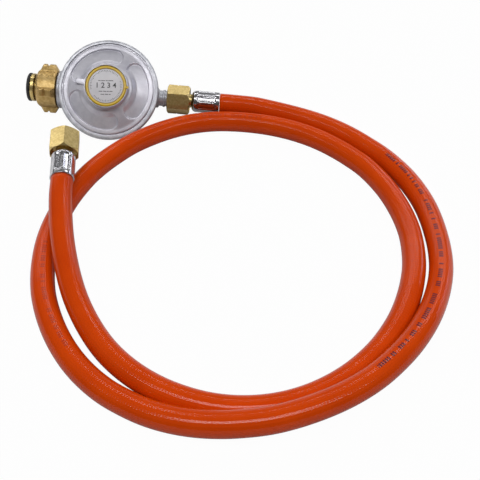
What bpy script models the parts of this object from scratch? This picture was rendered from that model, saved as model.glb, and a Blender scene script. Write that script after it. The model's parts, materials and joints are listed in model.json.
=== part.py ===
"""Low-pressure gas regulator with its bottle nut, a coiled hose and a union nut at each hose end.

Run with: blender --background --python part.py
Metres, +Z up.  The regulator lies on the table on its hand nut and on the rim of its housing.
"""
import math

import bmesh
import bpy
from mathutils import Matrix, Vector
from mathutils.kdtree import KDTree

MM = 0.001

# ---- running clearance between pieces that touch or are seated
GAP = 0.3 * MM
CUT = 1.0 * MM
SKIM = 0.01 * MM

# ---- how the regulator lies
PITCH = math.radians(4.2)

# ---- housing: body dish, axis of the disc is local Z, axis of the gas pipe is local X
RIM_RADIUS = 32.5 * MM
RIM_BOTTOM = 9.0 * MM
LIP_TOP = 13.0 * MM
LIP_THICK = 2.0 * MM
LIP_HOOK = 0.9 * MM
LIP_HOOK_THICK = 0.7 * MM
BODY_BOTTOM = -7.0 * MM
BODY_FLOOR = -5.2 * MM
LEDGE = 9.2 * MM
LEDGE_WIDTH = 3.5 * MM

# ---- walls of the dish: how far inward of the chamber's edge, and height, from the rim down
DISH_INSIDE = (
    (0.7 * MM, 7.4 * MM), (6.0 * MM, 3.9 * MM), (12.5 * MM, -1.0 * MM), (18.5 * MM, BODY_FLOOR),
)
DISH_OUTSIDE = (
    (-2.5 * MM, 7.6 * MM), (-0.5 * MM, 5.4 * MM), (5.0 * MM, 1.6 * MM), (11.0 * MM, -3.2 * MM),
    (17.0 * MM, BODY_BOTTOM),
)

# ---- gas pipe through the body
BOSS_FACE = -34.8 * MM
BOSS_RADIUS = 12.5 * MM
BOSS_LENGTH = 3.8 * MM
PIPE_MID_RADIUS = 6.6 * MM
OUTLET_BOSS_RADIUS = 8.6 * MM
OUTLET_BOSS_END = 29.0 * MM
COLLAR_RADIUS = 6.6 * MM
COLLAR_END = 32.3 * MM
NECK_RADIUS = 5.2 * MM
THREAD_RADIUS = 6.58 * MM
THREAD_START = 38.0 * MM
GAS_BORE = 2.2 * MM
OUTLET_BORE = 3.0 * MM

# ---- cover and what sits in its boss
COVER_TOP = 23.0 * MM
COVER_BOSS_WALL = 0.55 * MM
COVER_SHOULDER = 17.5 * MM
COVER_WALL = 2.0 * MM
CONE_FROM_BOSS = 1.35 * MM
CONE_FROM_LIP = 5.3 * MM
CONE_FOOT = 14.2 * MM
BEAD_TOP = 13.3 * MM
FLANGE_THICK = 1.2 * MM
CAP_RADIUS = 13.3 * MM
CAP_FACE = 22.9 * MM
CAP_SEAT = 20.5 * MM
CAP_THREAD_STEP = 1.6 * MM
CAP_THREAD_LENGTH = 1.4 * MM
CAP_EDGE = 1.7 * MM
LABEL_THICK = 0.5 * MM
SCREW_STEP = 2.5 * MM
SCREW_TOP = 18.7 * MM
SCREW_LENGTH = 2.9 * MM
SCREW_POCKET = 2.0 * MM
SCREW_SOCKET = 3.2 * MM
HUB_BOTTOM = 13.7 * MM
HUB_WALL = 2.2 * MM
KIDNEYS = 3
KIDNEY_FROM_BOSS = 2.25 * MM
KIDNEY_PAST_CONE = 1.5 * MM
KIDNEY_HALF_ANGLE = math.radians(38.0)
KIDNEY_DEPTH_IN = 1.4 * MM
KIDNEY_DEPTH_OUT = 0.6 * MM
LUG_WIDTH = 3.8 * MM
LUG_END = 20.8 * MM
LUG_TOP = 18.6 * MM
LUG_ANGLE = math.radians(175.0)
TAB_SIZE = 1.6 * MM

# ---- diaphragm, its plates and the control spring
DIAPHRAGM_THICK = 1.0 * MM
DIAPHRAGM_TRAVEL = 1.5 * MM
DIAPHRAGM_FOLD = 2.2 * MM
PLATE_RADIUS = 17.0 * MM
PLATE_THICK = 0.8 * MM
PLATE_LIP = 0.8 * MM
STEM_RADIUS = 1.6 * MM
STEM_FOOT_RADIUS = 2.7 * MM
STEM_HEAD_RADIUS = 3.0 * MM
STEM_HEAD_THICK = 1.0 * MM
SPRING_WIRE = 1.2 * MM
SPRING_RADIUS = 6.2 * MM
SPRING_TURNS = 2.5

# ---- lever and inlet valve
PIVOT_X = -12.0 * MM
PIVOT_Z = -2.8 * MM
LEVER_THICK = 1.2 * MM
LEVER_WIDTH = 3.0 * MM
LEVER_EYE = 2.0 * MM
LEVER_TIP_Z = 0.5 * MM
LEVER_REACH = 2.2 * MM
FINGER_HEIGHT = 3.7 * MM
PIN_RADIUS = 0.8 * MM
PIN_LENGTH = 9.0 * MM
CARRIER_RADIUS = 3.0 * MM
CARRIER_START = -20.0 * MM
CARRIER_END = -9.6 * MM
TONGUE_BOTTOM = -0.3 * MM
PAD_RADIUS = 2.4 * MM
PAD_THICK = 1.4 * MM
VALVE_OPENING = 0.8 * MM
NOZZLE_RADIUS = 4.0 * MM
NOZZLE_SEAT = 1.3 * MM
NOZZLE_ORIFICE = 0.6 * MM
NOZZLE_SHOULDER = -29.0 * MM
NOZZLE_LENGTH = 5.6 * MM

# ---- bottle connection
SHANK_RADIUS = 6.0 * MM
NIPPLE_HEAD_RADIUS = 9.25 * MM
NIPPLE_HEAD_LENGTH = 2.4 * MM
NIPPLE_HEAD_REAR = -50.8 * MM
NIPPLE_COLLAR_WIDTH = 1.7 * MM
NIPPLE_COLLAR_THICK = 0.6 * MM
GASKET_THICK = 1.0 * MM
SEAL_RADIUS = 9.45 * MM
SEAL_BORE = 4.2 * MM
SEAL_LENGTH = 2.1 * MM
SEAL_SPIGOT = 1.1 * MM
FILTER_RADIUS = 2.9 * MM
FILTER_LENGTH = 1.8 * MM
HAND_NUT_END = -35.8 * MM
HAND_NUT_LENGTH = 12.8 * MM
HAND_NUT_APOTHEM = 12.2 * MM
HAND_NUT_TIP = 16.0 * MM
HAND_NUT_TIP_WIDTH = 4.4 * MM
HAND_NUT_RIDGE_WIDTH = 6.0 * MM
HAND_NUT_BORE = 10.2 * MM
HAND_NUT_SHOULDER = 3.4 * MM
HAND_NUT_RIDGES = 6
NUT_GROOVE_DEPTH = 1.1 * MM
WASHER_THICK = 1.0 * MM
WASHER_RADIUS = 9.0 * MM

# ---- hose, hose tails, ferrules and union nuts
HOSE_RADIUS = 6.65 * MM
HOSE_POINT_COUNT = 78
FERRULE_LENGTH = 18.6 * MM
FERRULE_RADIUS = 7.2 * MM
FERRULE_SHOULDER = 2.2 * MM
DIMPLES = 8
DIMPLE_LENGTH = 13.5 * MM
DIMPLE_WIDTH = 3.3 * MM
DIMPLE_DEPTH = 0.5 * MM
TAIL_STEM_RADIUS = 4.0 * MM
TAIL_NECK_RADIUS = 4.6 * MM
TAIL_COLLAR_RADIUS = 6.6 * MM
TAIL_COLLAR_THICK = 2.0 * MM
TAIL_NOSE_RADIUS = 5.2 * MM
TAIL_NOSE_TIP = 3.2 * MM
TAIL_NOSE_LENGTH = 3.6 * MM
TAIL_BORE = 2.0 * MM
NUT_LENGTH = 17.0 * MM
NUT_ACROSS_FLATS = 17.0 * MM
NUT_SHOULDER = 5.0 * MM
NUT_DISH_DEPTH = 2.4 * MM
NUT_DISH_RADIUS = 7.8 * MM
NUT_NOTCH_DEPTH = 0.7 * MM
NUT_FROM_FERRULE = 0.6 * MM
END_NUT_SLIDE = 2.3 * MM

# ---- how the loose end of the hose lies (mouth of its ferrule, heading and rise)
END_X = -12.9 * MM
END_Y = -84.0 * MM
END_Z = 23.0 * MM
END_HEADING = math.radians(96.5)
END_RISE = math.radians(8.0)

# ---- route of the hose centreline, millimetres: first turn, second turn, rise over the first
FIRST_TURN = (
    (99.0, 5.2, 6.75), (110.2, 2.0, 6.75), (121.6, -1.7, 6.75), (132.9, -5.9, 6.75),
    (143.9, -10.9, 6.75), (154.2, -16.9, 6.75), (163.9, -24.0, 6.75), (172.7, -31.9, 6.75),
    (181.2, -40.3, 6.75), (188.6, -49.7, 6.75), (195.0, -59.7, 6.75), (200.1, -70.5, 6.75),
    (204.0, -81.8, 6.75), (206.5, -93.6, 6.75), (207.9, -105.6, 6.75), (208.4, -117.6, 6.75),
    (207.5, -129.8, 7.0), (204.8, -142.0, 7.9), (200.4, -154.6, 9.9), (194.8, -166.9, 12.2),
    (188.5, -177.7, 13.7), (181.5, -187.4, 14.7), (173.6, -196.4, 15.4), (165.0, -204.7, 15.9),
    (155.6, -211.9, 16.2), (145.6, -218.0, 16.4), (135.1, -223.1, 16.4), (124.3, -227.3, 16.2),
    (113.2, -230.4, 15.7), (101.7, -232.1, 15.0), (90.2, -232.7, 14.0), (78.4, -232.0, 12.7),
    (66.6, -229.8, 11.1), (54.9, -226.1, 9.4), (43.7, -221.0, 7.9), (32.7, -214.9, 7.0),
    (22.7, -207.6, 6.75), (13.9, -199.4, 6.75), (6.2, -190.2, 6.75), (-0.5, -180.2, 6.75),
    (-6.2, -169.5, 6.75), (-10.8, -158.4, 6.75), (-14.0, -146.8, 6.75), (-16.0, -135.0, 6.75),
    (-16.9, -123.0, 6.75), (-16.4, -111.0, 6.75), (-14.6, -99.0, 6.75), (-11.8, -87.3, 6.75),
    (-7.8, -76.0, 6.75), (-2.8, -65.0, 6.75), (3.7, -54.8, 6.75), (11.2, -45.3, 6.75),
    (19.5, -36.4, 6.75), (29.1, -28.8, 6.75), (39.5, -22.1, 6.75), (50.4, -16.9, 6.75),
)
SECOND_TURN = (
    (61.9, -13.2, 6.75), (73.8, -11.2, 6.75), (85.9, -10.9, 6.75), (98.0, -11.8, 6.75),
    (109.9, -13.8, 6.75), (121.4, -17.0, 6.75), (132.6, -21.5, 6.75), (143.1, -27.2, 6.75),
    (152.7, -34.0, 6.75), (161.8, -41.8, 6.75), (170.1, -50.3, 6.75), (177.0, -60.2, 6.75),
    (182.8, -70.8, 6.75), (187.3, -81.9, 6.75), (190.7, -93.4, 6.75), (192.8, -105.2, 6.75),
    (193.3, -117.3, 6.75), (192.5, -129.3, 6.75), (190.2, -141.1, 6.75), (186.7, -152.6, 6.75),
    (182.1, -163.7, 6.75), (176.3, -174.2, 6.75), (169.4, -184.1, 6.75), (161.3, -193.1, 6.75),
    (152.2, -201.2, 6.75), (142.2, -208.1, 6.75), (131.4, -213.7, 6.75), (119.9, -217.8, 6.75),
    (107.9, -220.2, 6.75), (95.8, -220.9, 6.75), (83.6, -219.9, 6.75), (71.8, -217.2, 6.75),
    (60.3, -213.1, 6.75), (49.5, -207.6, 6.75), (39.5, -200.8, 6.75), (30.3, -192.8, 6.75),
    (22.6, -184.2, 7.1),
)
HOSE_END = (
    (15.3, -174.2, 8.2), (8.5, -162.8, 9.9), (3.1, -151.2, 11.9), (-1.4, -139.2, 14.0),
    (-5.2, -126.8, 16.2), (-8.3, -113.9, 18.5),
)

# ---- sizes that follow from the ones above
PIPE_HEIGHT = HAND_NUT_TIP * math.cos(PITCH) + (HAND_NUT_END - CUT) * math.sin(PITCH)
NUT_CORNER = NUT_ACROSS_FLATS / 2 / math.cos(math.pi / 6)
NUT_HOLE = TAIL_NECK_RADIUS + GAP
NUT_BORE = TAIL_COLLAR_RADIUS + GAP
TAIL_COLLAR_START = FERRULE_LENGTH + NUT_FROM_FERRULE + NUT_SHOULDER + GAP
TAIL_COLLAR_END = TAIL_COLLAR_START + TAIL_COLLAR_THICK
FERRULE_MOUTH = 74.1 * MM
THREAD_END = FERRULE_MOUTH - TAIL_COLLAR_END - GAP
NIPPLE_COLLAR_RADIUS = SHANK_RADIUS + NIPPLE_COLLAR_WIDTH
SEAL_FRONT = NIPPLE_HEAD_REAR - NIPPLE_HEAD_LENGTH - GAP - SEAL_LENGTH
OUTLET_NUT_END = FERRULE_MOUTH - FERRULE_LENGTH - NUT_FROM_FERRULE
ORIGIN_X = -(SEAL_FRONT + OUTLET_NUT_END) / 2 * math.cos(PITCH)
FLANGE_BOTTOM = LIP_TOP - LIP_HOOK_THICK - GAP - FLANGE_THICK
FLANGE_TOP = FLANGE_BOTTOM + FLANGE_THICK
LIP_INNER = RIM_RADIUS - LIP_THICK
FLANGE_RADIUS = LIP_INNER - GAP
LIP_OPENING = LIP_INNER - LIP_HOOK
CHAMBER_RADIUS = LIP_INNER - LEDGE_WIDTH
COVER_BOSS_RADIUS = CAP_RADIUS + GAP + COVER_BOSS_WALL
CAP_THREAD_RADIUS = CAP_RADIUS - CAP_THREAD_STEP
LABEL_RADIUS = CAP_RADIUS - CAP_EDGE - GAP
SCREW_RADIUS = CAP_THREAD_RADIUS - SCREW_STEP
CONE_IN = COVER_BOSS_RADIUS + CONE_FROM_BOSS
CONE_OUT = LIP_OPENING - CONE_FROM_LIP
KIDNEY_IN = COVER_BOSS_RADIUS + KIDNEY_FROM_BOSS
KIDNEY_OUT = CONE_OUT + KIDNEY_PAST_CONE
KIDNEY_RADIUS = (KIDNEY_IN + KIDNEY_OUT) / 2
KIDNEY_HALF_WIDTH = (KIDNEY_OUT - KIDNEY_IN) / 2
DIAPHRAGM_BOTTOM = LEDGE + GAP
DIAPHRAGM_TOP = DIAPHRAGM_BOTTOM + DIAPHRAGM_THICK
CARRIER_BORE = CARRIER_RADIUS + GAP
NOZZLE_TIP = CARRIER_START - VALVE_OPENING
PIVOT_ARM = -PIVOT_X


def rim_tilt():
    """Tilt about the pipe axis at which the rim touches the table when the hand nut does."""
    low, high = math.radians(10.0), math.radians(70.0)
    for _ in range(60):
        tilt = (low + high) / 2
        drop = RIM_RADIUS * math.hypot(math.sin(PITCH), math.sin(tilt) * math.cos(PITCH))
        drop -= RIM_BOTTOM * math.cos(tilt) * math.cos(PITCH)
        if drop < PIPE_HEIGHT:
            low = tilt
        else:
            high = tilt
    return low


TILT = rim_tilt()
ORIGIN_Y = (RIM_BOTTOM + LIP_TOP - 0.8 * MM) / 2 * math.sin(TILT)


# ---- scene helpers

def clear_scene():
    for scene_object in list(bpy.data.objects):
        bpy.data.objects.remove(scene_object, do_unlink=True)


def new_collection(name):
    collection = bpy.data.collections.new(name)
    bpy.context.scene.collection.children.link(collection)
    return collection


def material(name, colour, metallic, roughness):
    made = bpy.data.materials.new(name)
    made.use_nodes = True
    shader = made.node_tree.nodes["Principled BSDF"]
    shader.inputs["Base Color"].default_value = (*colour, 1.0)
    shader.inputs["Metallic"].default_value = metallic
    shader.inputs["Roughness"].default_value = roughness
    return made


def empty(name, collection, location, rotation):
    made = bpy.data.objects.new(name, None)
    made.empty_display_size = 0.01
    made.location = location
    made.rotation_euler = rotation
    collection.objects.link(made)
    return made


def add_object(name, data, collection, parent=None):
    made = bpy.data.objects.new(name, data)
    collection.objects.link(made)
    made.parent = parent
    return made


def mesh_from(name, fill):
    """A mesh whose geometry the function fill adds to a bmesh."""
    made = bpy.data.meshes.new(name)
    work = bmesh.new()
    fill(work)
    bmesh.ops.recalc_face_normals(work, faces=work.faces)
    work.to_mesh(made)
    work.free()
    return made


def turned(name, outline, collection, parent=None, steps=48, along_x=False):
    """Solid of revolution: outline of (radius, height), from the top down the outer side.

    A point of radius 0 at both ends closes the outline on the axis; otherwise it is a ring.
    """
    closed = not (outline[0][0] == 0 and outline[-1][0] == 0)

    def fill(work):
        corners = [work.verts.new((radius, 0.0, height)) for radius, height in outline]
        for first, second in zip(corners, corners[1:]):
            work.edges.new((first, second))
        if closed:
            work.edges.new((corners[-1], corners[0]))

    made = add_object(name, mesh_from(name, fill), collection, parent)
    screw = made.modifiers.new("turn", "SCREW")
    screw.axis = "Z"
    screw.angle = math.tau
    screw.steps = steps
    screw.render_steps = steps
    screw.use_merge_vertices = True
    screw.merge_threshold = 0.00001
    if along_x:
        made.rotation_euler = (0.0, math.pi / 2, 0.0)
    return made


def ring_outline(inner, outer, bottom, top):
    return [(inner, top), (outer, top), (outer, bottom), (inner, bottom)]


def flat_solid(name, loops, thickness, collection, parent=None):
    """Prism of a flat outline in XY, centred on Z = 0; loops after the first are holes."""
    curve = bpy.data.curves.new(name, "CURVE")
    curve.dimensions = "2D"
    curve.fill_mode = "BOTH"
    curve.extrude = thickness / 2
    for loop in loops:
        spline = curve.splines.new("POLY")
        spline.points.add(len(loop) - 1)
        for point, (x, y) in zip(spline.points, loop):
            point.co = (x, y, 0.0, 1.0)
        spline.use_cyclic_u = True
    return as_mesh(add_object(name, curve, collection, parent))


def as_mesh(curve_object):
    """The curve object turned into a closed mesh object of the same name and place."""
    bpy.context.view_layer.update()
    evaluated = curve_object.evaluated_get(bpy.context.evaluated_depsgraph_get())
    made_mesh = bpy.data.meshes.new_from_object(evaluated)
    work = bmesh.new()
    work.from_mesh(made_mesh)
    bmesh.ops.remove_doubles(work, verts=work.verts, dist=0.000001)
    bmesh.ops.recalc_face_normals(work, faces=work.faces)
    work.to_mesh(made_mesh)
    work.free()
    name = curve_object.name
    collection = curve_object.users_collection[0]
    parent = curve_object.parent
    place = curve_object.matrix_basis.copy()
    bpy.data.objects.remove(curve_object, do_unlink=True)
    made = add_object(name, made_mesh, collection, parent)
    made.matrix_basis = place
    return made


def block(name, low, high, collection, parent=None):
    """Box between two corners, its corners in the parent's frame."""
    size = Vector(high) - Vector(low)
    middle = (Vector(high) + Vector(low)) / 2

    def fill(work):
        place = Matrix.Translation(middle) @ Matrix.Diagonal((*size, 1.0))
        bmesh.ops.create_cube(work, size=1.0, matrix=place)

    return add_object(name, mesh_from(name, fill), collection, parent)


def rod(name, radius, start, end, collection, parent=None, sides=24):
    """Cylinder between two points of the parent's frame."""
    start, end = Vector(start), Vector(end)
    span = end - start
    turn = span.to_track_quat("Z", "Y").to_matrix().to_4x4()
    place = Matrix.Translation((start + end) / 2) @ turn

    def fill(work):
        bmesh.ops.create_cone(
            work, cap_ends=True, segments=sides, radius1=radius, radius2=radius,
            depth=span.length, matrix=place)

    return add_object(name, mesh_from(name, fill), collection, parent)


def boolean(target, operation, tool):
    cut = target.modifiers.new(operation.lower(), "BOOLEAN")
    cut.solver = "EXACT"
    cut.operation = operation
    cut.object = tool
    tool.hide_render = True
    tool.display_type = "WIRE"


def paint(target, shade):
    target.data.materials.clear()
    target.data.materials.append(shade)


# ---- collections, frames and materials

clear_scene()
part = new_collection("propane_regulator_hose")
cutters = new_collection("cutters")

REGULATOR = empty(
    "regulator_frame", part, (ORIGIN_X, ORIGIN_Y, PIPE_HEIGHT),
    (Matrix.Rotation(PITCH, 3, "Y") @ Matrix.Rotation(TILT, 3, "X")).to_euler())

zinc = material("cast zinc", (0.50, 0.51, 0.54), 0.85, 0.42)
cover_zinc = material("silver cover", (0.46, 0.46, 0.50), 0.75, 0.45)
brass = material("brass", (0.60, 0.43, 0.16), 1.0, 0.34)
steel = material("polished steel", (0.62, 0.62, 0.63), 1.0, 0.22)
rubber = material("black rubber", (0.012, 0.012, 0.013), 0.0, 0.55)
yellow = material("yellow plastic", (0.75, 0.50, 0.0), 0.0, 0.38)
label_grey = material("pale label", (0.62, 0.62, 0.64), 0.0, 0.5)
white_plastic = material("white plastic", (0.7, 0.7, 0.68), 0.0, 0.45)
orange = material("orange hose rubber", (0.58, 0.055, 0.001), 0.0, 0.35)


# ---- housing

def lower_body():
    """Die-cast dish with rolled lip, joined to the turned pipe, then bored and pocketed."""
    inside = [(CHAMBER_RADIUS - inward, height) for inward, height in DISH_INSIDE]
    outside = [(CHAMBER_RADIUS - inward, height) for inward, height in DISH_OUTSIDE]
    dish = turned("lower_body", [
        (0.0, BODY_FLOOR), *reversed(inside), (CHAMBER_RADIUS, LEDGE), (LIP_INNER, LEDGE),
        (LIP_INNER, LIP_TOP - LIP_HOOK_THICK), (LIP_OPENING, LIP_TOP - LIP_HOOK_THICK),
        (LIP_OPENING, LIP_TOP - 0.15 * MM), (LIP_OPENING + 0.4 * MM, LIP_TOP),
        (RIM_RADIUS - 1.0 * MM, LIP_TOP), (RIM_RADIUS - 0.3 * MM, LIP_TOP - 0.4 * MM),
        (RIM_RADIUS, LIP_TOP - 1.2 * MM), (RIM_RADIUS, RIM_BOTTOM),
        (RIM_RADIUS - 1.0 * MM, RIM_BOTTOM - 0.5 * MM), *outside, (0.0, BODY_BOTTOM),
    ], part, REGULATOR, steps=40)
    paint(dish, zinc)

    pipe = turned("pipe_form", [
        (0.0, THREAD_END), (THREAD_RADIUS - 0.8 * MM, THREAD_END),
        (THREAD_RADIUS, THREAD_END - 0.8 * MM), (THREAD_RADIUS, THREAD_START + 0.6 * MM),
        (NECK_RADIUS, THREAD_START), (NECK_RADIUS, COLLAR_END + 0.4 * MM),
        (COLLAR_RADIUS, COLLAR_END), (COLLAR_RADIUS, OUTLET_BOSS_END + 0.3 * MM),
        (OUTLET_BOSS_RADIUS - 0.6 * MM, OUTLET_BOSS_END), (OUTLET_BOSS_RADIUS, OUTLET_BOSS_END - 7.0 * MM),
        (OUTLET_BOSS_RADIUS - 1.0 * MM, OUTLET_BOSS_END - 19.0 * MM), (PIPE_MID_RADIUS, 0.0),
        (PIPE_MID_RADIUS + 0.8 * MM, -6.0 * MM), (BOSS_RADIUS - 3.3 * MM, BOSS_FACE + 20.8 * MM),
        (BOSS_RADIUS - 1.7 * MM, BOSS_FACE + 10.8 * MM), (BOSS_RADIUS, BOSS_FACE + BOSS_LENGTH),
        (BOSS_RADIUS, BOSS_FACE + 0.4 * MM),
        (BOSS_RADIUS - 0.4 * MM, BOSS_FACE), (0.0, BOSS_FACE),
    ], cutters, REGULATOR, steps=28, along_x=True)
    boolean(dish, "UNION", pipe)

    chamber = turned("chamber_cut", [
        (0.0, LIP_TOP + 3 * CUT), (LIP_OPENING - SKIM, LIP_TOP + 3 * CUT),
        (LIP_OPENING - SKIM, LIP_TOP - LIP_HOOK_THICK - SKIM),
        (LIP_INNER - SKIM, LIP_TOP - LIP_HOOK_THICK - SKIM),
        (LIP_INNER - SKIM, LEDGE + SKIM), (CHAMBER_RADIUS - SKIM, LEDGE + SKIM),
        *[(radius - SKIM, height + SKIM) for radius, height in inside], (0.0, BODY_FLOOR + SKIM),
    ], cutters, REGULATOR, steps=40)
    boolean(dish, "DIFFERENCE", chamber)

    inlet = turned("inlet_cut", [
        (0.0, CARRIER_END), (CARRIER_BORE, CARRIER_END),
        (CARRIER_BORE, NOZZLE_SHOULDER + NOZZLE_LENGTH + GAP),
        (NOZZLE_RADIUS + GAP, NOZZLE_SHOULDER + NOZZLE_LENGTH + GAP),
        (NOZZLE_RADIUS + GAP, NOZZLE_SHOULDER - GAP),
        (SHANK_RADIUS + GAP, NOZZLE_SHOULDER - GAP),
        (SHANK_RADIUS + GAP, BOSS_FACE + GASKET_THICK + 2 * GAP),
        (NIPPLE_COLLAR_RADIUS + GAP, BOSS_FACE + GASKET_THICK + 2 * GAP),
        (NIPPLE_COLLAR_RADIUS + GAP, BOSS_FACE - CUT), (0.0, BOSS_FACE - CUT),
    ], cutters, REGULATOR, steps=24, along_x=True)
    boolean(dish, "DIFFERENCE", inlet)

    seat_depth = TAIL_NOSE_LENGTH + GAP
    outlet = turned("outlet_cut", [
        (0.0, THREAD_END + CUT), (TAIL_NOSE_RADIUS + 3 * GAP, THREAD_END + CUT),
        (TAIL_NOSE_RADIUS + GAP, THREAD_END), (TAIL_NOSE_TIP + 2 * GAP, THREAD_END - seat_depth),
        (OUTLET_BORE, THREAD_END - seat_depth), (OUTLET_BORE, 11.0 * MM), (0.0, 11.0 * MM),
    ], cutters, REGULATOR, steps=24, along_x=True)
    boolean(dish, "DIFFERENCE", outlet)

    half = LEVER_WIDTH / 2 + 2 * GAP
    pocket = block(
        "lever_pocket_cut", (PIVOT_X - LEVER_EYE - 2 * GAP, -half, BODY_FLOOR),
        (PIVOT_X + 5.0 * MM, half, 5.0 * MM), cutters, REGULATOR)
    boolean(dish, "DIFFERENCE", pocket)
    reach = PIN_LENGTH / 2 + GAP
    slot = rod(
        "pin_cut", PIN_RADIUS + GAP, (PIVOT_X, -reach, PIVOT_Z), (PIVOT_X, reach, PIVOT_Z),
        cutters, REGULATOR, sides=20)
    boolean(dish, "DIFFERENCE", slot)
    entry = block(
        "pin_entry_cut", (PIVOT_X - PIN_RADIUS - GAP * 0.9, -reach * 0.999, PIVOT_Z),
        (PIVOT_X + PIN_RADIUS + GAP * 0.9, reach * 0.999, 4.0 * MM), cutters, REGULATOR)
    boolean(dish, "DIFFERENCE", entry)
    return dish


def cover_slope(radius):
    """Height of the cover's outer cone at a radius."""
    share = (radius - CONE_IN) / (CONE_OUT - CONE_IN)
    return COVER_SHOULDER + (CONE_FOOT - COVER_SHOULDER) * share


def kidney_floor(radius):
    """Height of the recesses' floor, which slopes less than the cone and so is deeper at the hub."""
    share = (radius - KIDNEY_IN) / (KIDNEY_OUT - KIDNEY_IN)
    inner = cover_slope(KIDNEY_IN) - KIDNEY_DEPTH_IN
    outer = cover_slope(KIDNEY_OUT) - KIDNEY_DEPTH_OUT
    return inner + (outer - inner) * share


def kidney_outline(middle_angle, steps=9):
    """Round-ended arc band: the outline of one recess of the cover."""
    points = []
    for side, turn in ((1, 1), (-1, -1)):
        radius = KIDNEY_RADIUS + side * KIDNEY_HALF_WIDTH
        for step in range(steps):
            angle = middle_angle + turn * KIDNEY_HALF_ANGLE * (2 * step / (steps - 1) - 1)
            points.append((radius * math.cos(angle), radius * math.sin(angle)))
        centre_angle = middle_angle + turn * KIDNEY_HALF_ANGLE
        centre = (KIDNEY_RADIUS * math.cos(centre_angle), KIDNEY_RADIUS * math.sin(centre_angle))
        for step in range(1, 6):
            angle = centre_angle + (0.0 if side > 0 else math.pi) + math.pi * step / 6
            points.append((
                centre[0] + KIDNEY_HALF_WIDTH * math.cos(angle),
                centre[1] + KIDNEY_HALF_WIDTH * math.sin(angle)))
    return points


def cover():
    """Spun bonnet: clamped flange, bead, cone with three recesses, threaded boss and a lug."""
    hub = SCREW_RADIUS + GAP
    under = CONE_OUT - 0.8 * MM
    shell = turned("cover", [
        (CAP_RADIUS + GAP, COVER_TOP), (COVER_BOSS_RADIUS - 0.3 * MM, COVER_TOP),
        (COVER_BOSS_RADIUS, COVER_TOP - 0.4 * MM), (COVER_BOSS_RADIUS, COVER_SHOULDER + 0.7 * MM),
        (COVER_BOSS_RADIUS + 0.4 * MM, COVER_SHOULDER + 0.2 * MM), (CONE_IN, COVER_SHOULDER),
        (CONE_OUT, CONE_FOOT), (KIDNEY_OUT, BEAD_TOP - 0.1 * MM), (KIDNEY_OUT + 0.6 * MM, BEAD_TOP),
        (LIP_OPENING - 2.5 * MM, BEAD_TOP - 0.2 * MM), (LIP_OPENING - 2.0 * MM, BEAD_TOP - 0.8 * MM),
        (LIP_OPENING - 1.3 * MM, FLANGE_TOP), (FLANGE_RADIUS, FLANGE_TOP), (FLANGE_RADIUS, FLANGE_BOTTOM),
        (CHAMBER_RADIUS - 0.4 * MM, FLANGE_BOTTOM), (CHAMBER_RADIUS - 1.6 * MM, FLANGE_BOTTOM + 0.6 * MM),
        (under, cover_slope(under) - COVER_WALL), (CONE_IN, COVER_SHOULDER - COVER_WALL),
        (hub + HUB_WALL, COVER_SHOULDER - COVER_WALL),
        (hub + HUB_WALL, HUB_BOTTOM), (hub, HUB_BOTTOM), (hub, SCREW_TOP + GAP),
        (CAP_THREAD_RADIUS + GAP, SCREW_TOP + GAP), (CAP_THREAD_RADIUS + GAP, CAP_SEAT),
        (CAP_RADIUS + GAP, CAP_SEAT),
    ], part, REGULATOR, steps=40)
    paint(shell, cover_zinc)

    lug = block(
        "lug_form", (COVER_BOSS_RADIUS - 0.5 * MM, -LUG_WIDTH / 2, CONE_FOOT - 0.2 * MM),
        (LUG_END, LUG_WIDTH / 2, LUG_TOP), cutters, REGULATOR)
    lug.rotation_euler = (0.0, 0.0, LUG_ANGLE)

    recess = flat_solid(
        "kidney_cut", [kidney_outline(math.tau * count / KIDNEYS) for count in range(KIDNEYS)],
        30.0 * MM, cutters, REGULATOR)
    recess.location = (0.0, 0.0, COVER_SHOULDER)
    above = turned("kidney_floor", [
        (0.0, COVER_TOP + 5 * CUT), (RIM_RADIUS, COVER_TOP + 5 * CUT),
        (RIM_RADIUS, kidney_floor(RIM_RADIUS)), (0.0, kidney_floor(0.0)),
    ], cutters, REGULATOR, steps=40)
    boolean(recess, "INTERSECT", above)
    boolean(shell, "DIFFERENCE", recess)
    boolean(shell, "UNION", lug)
    return shell


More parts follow.
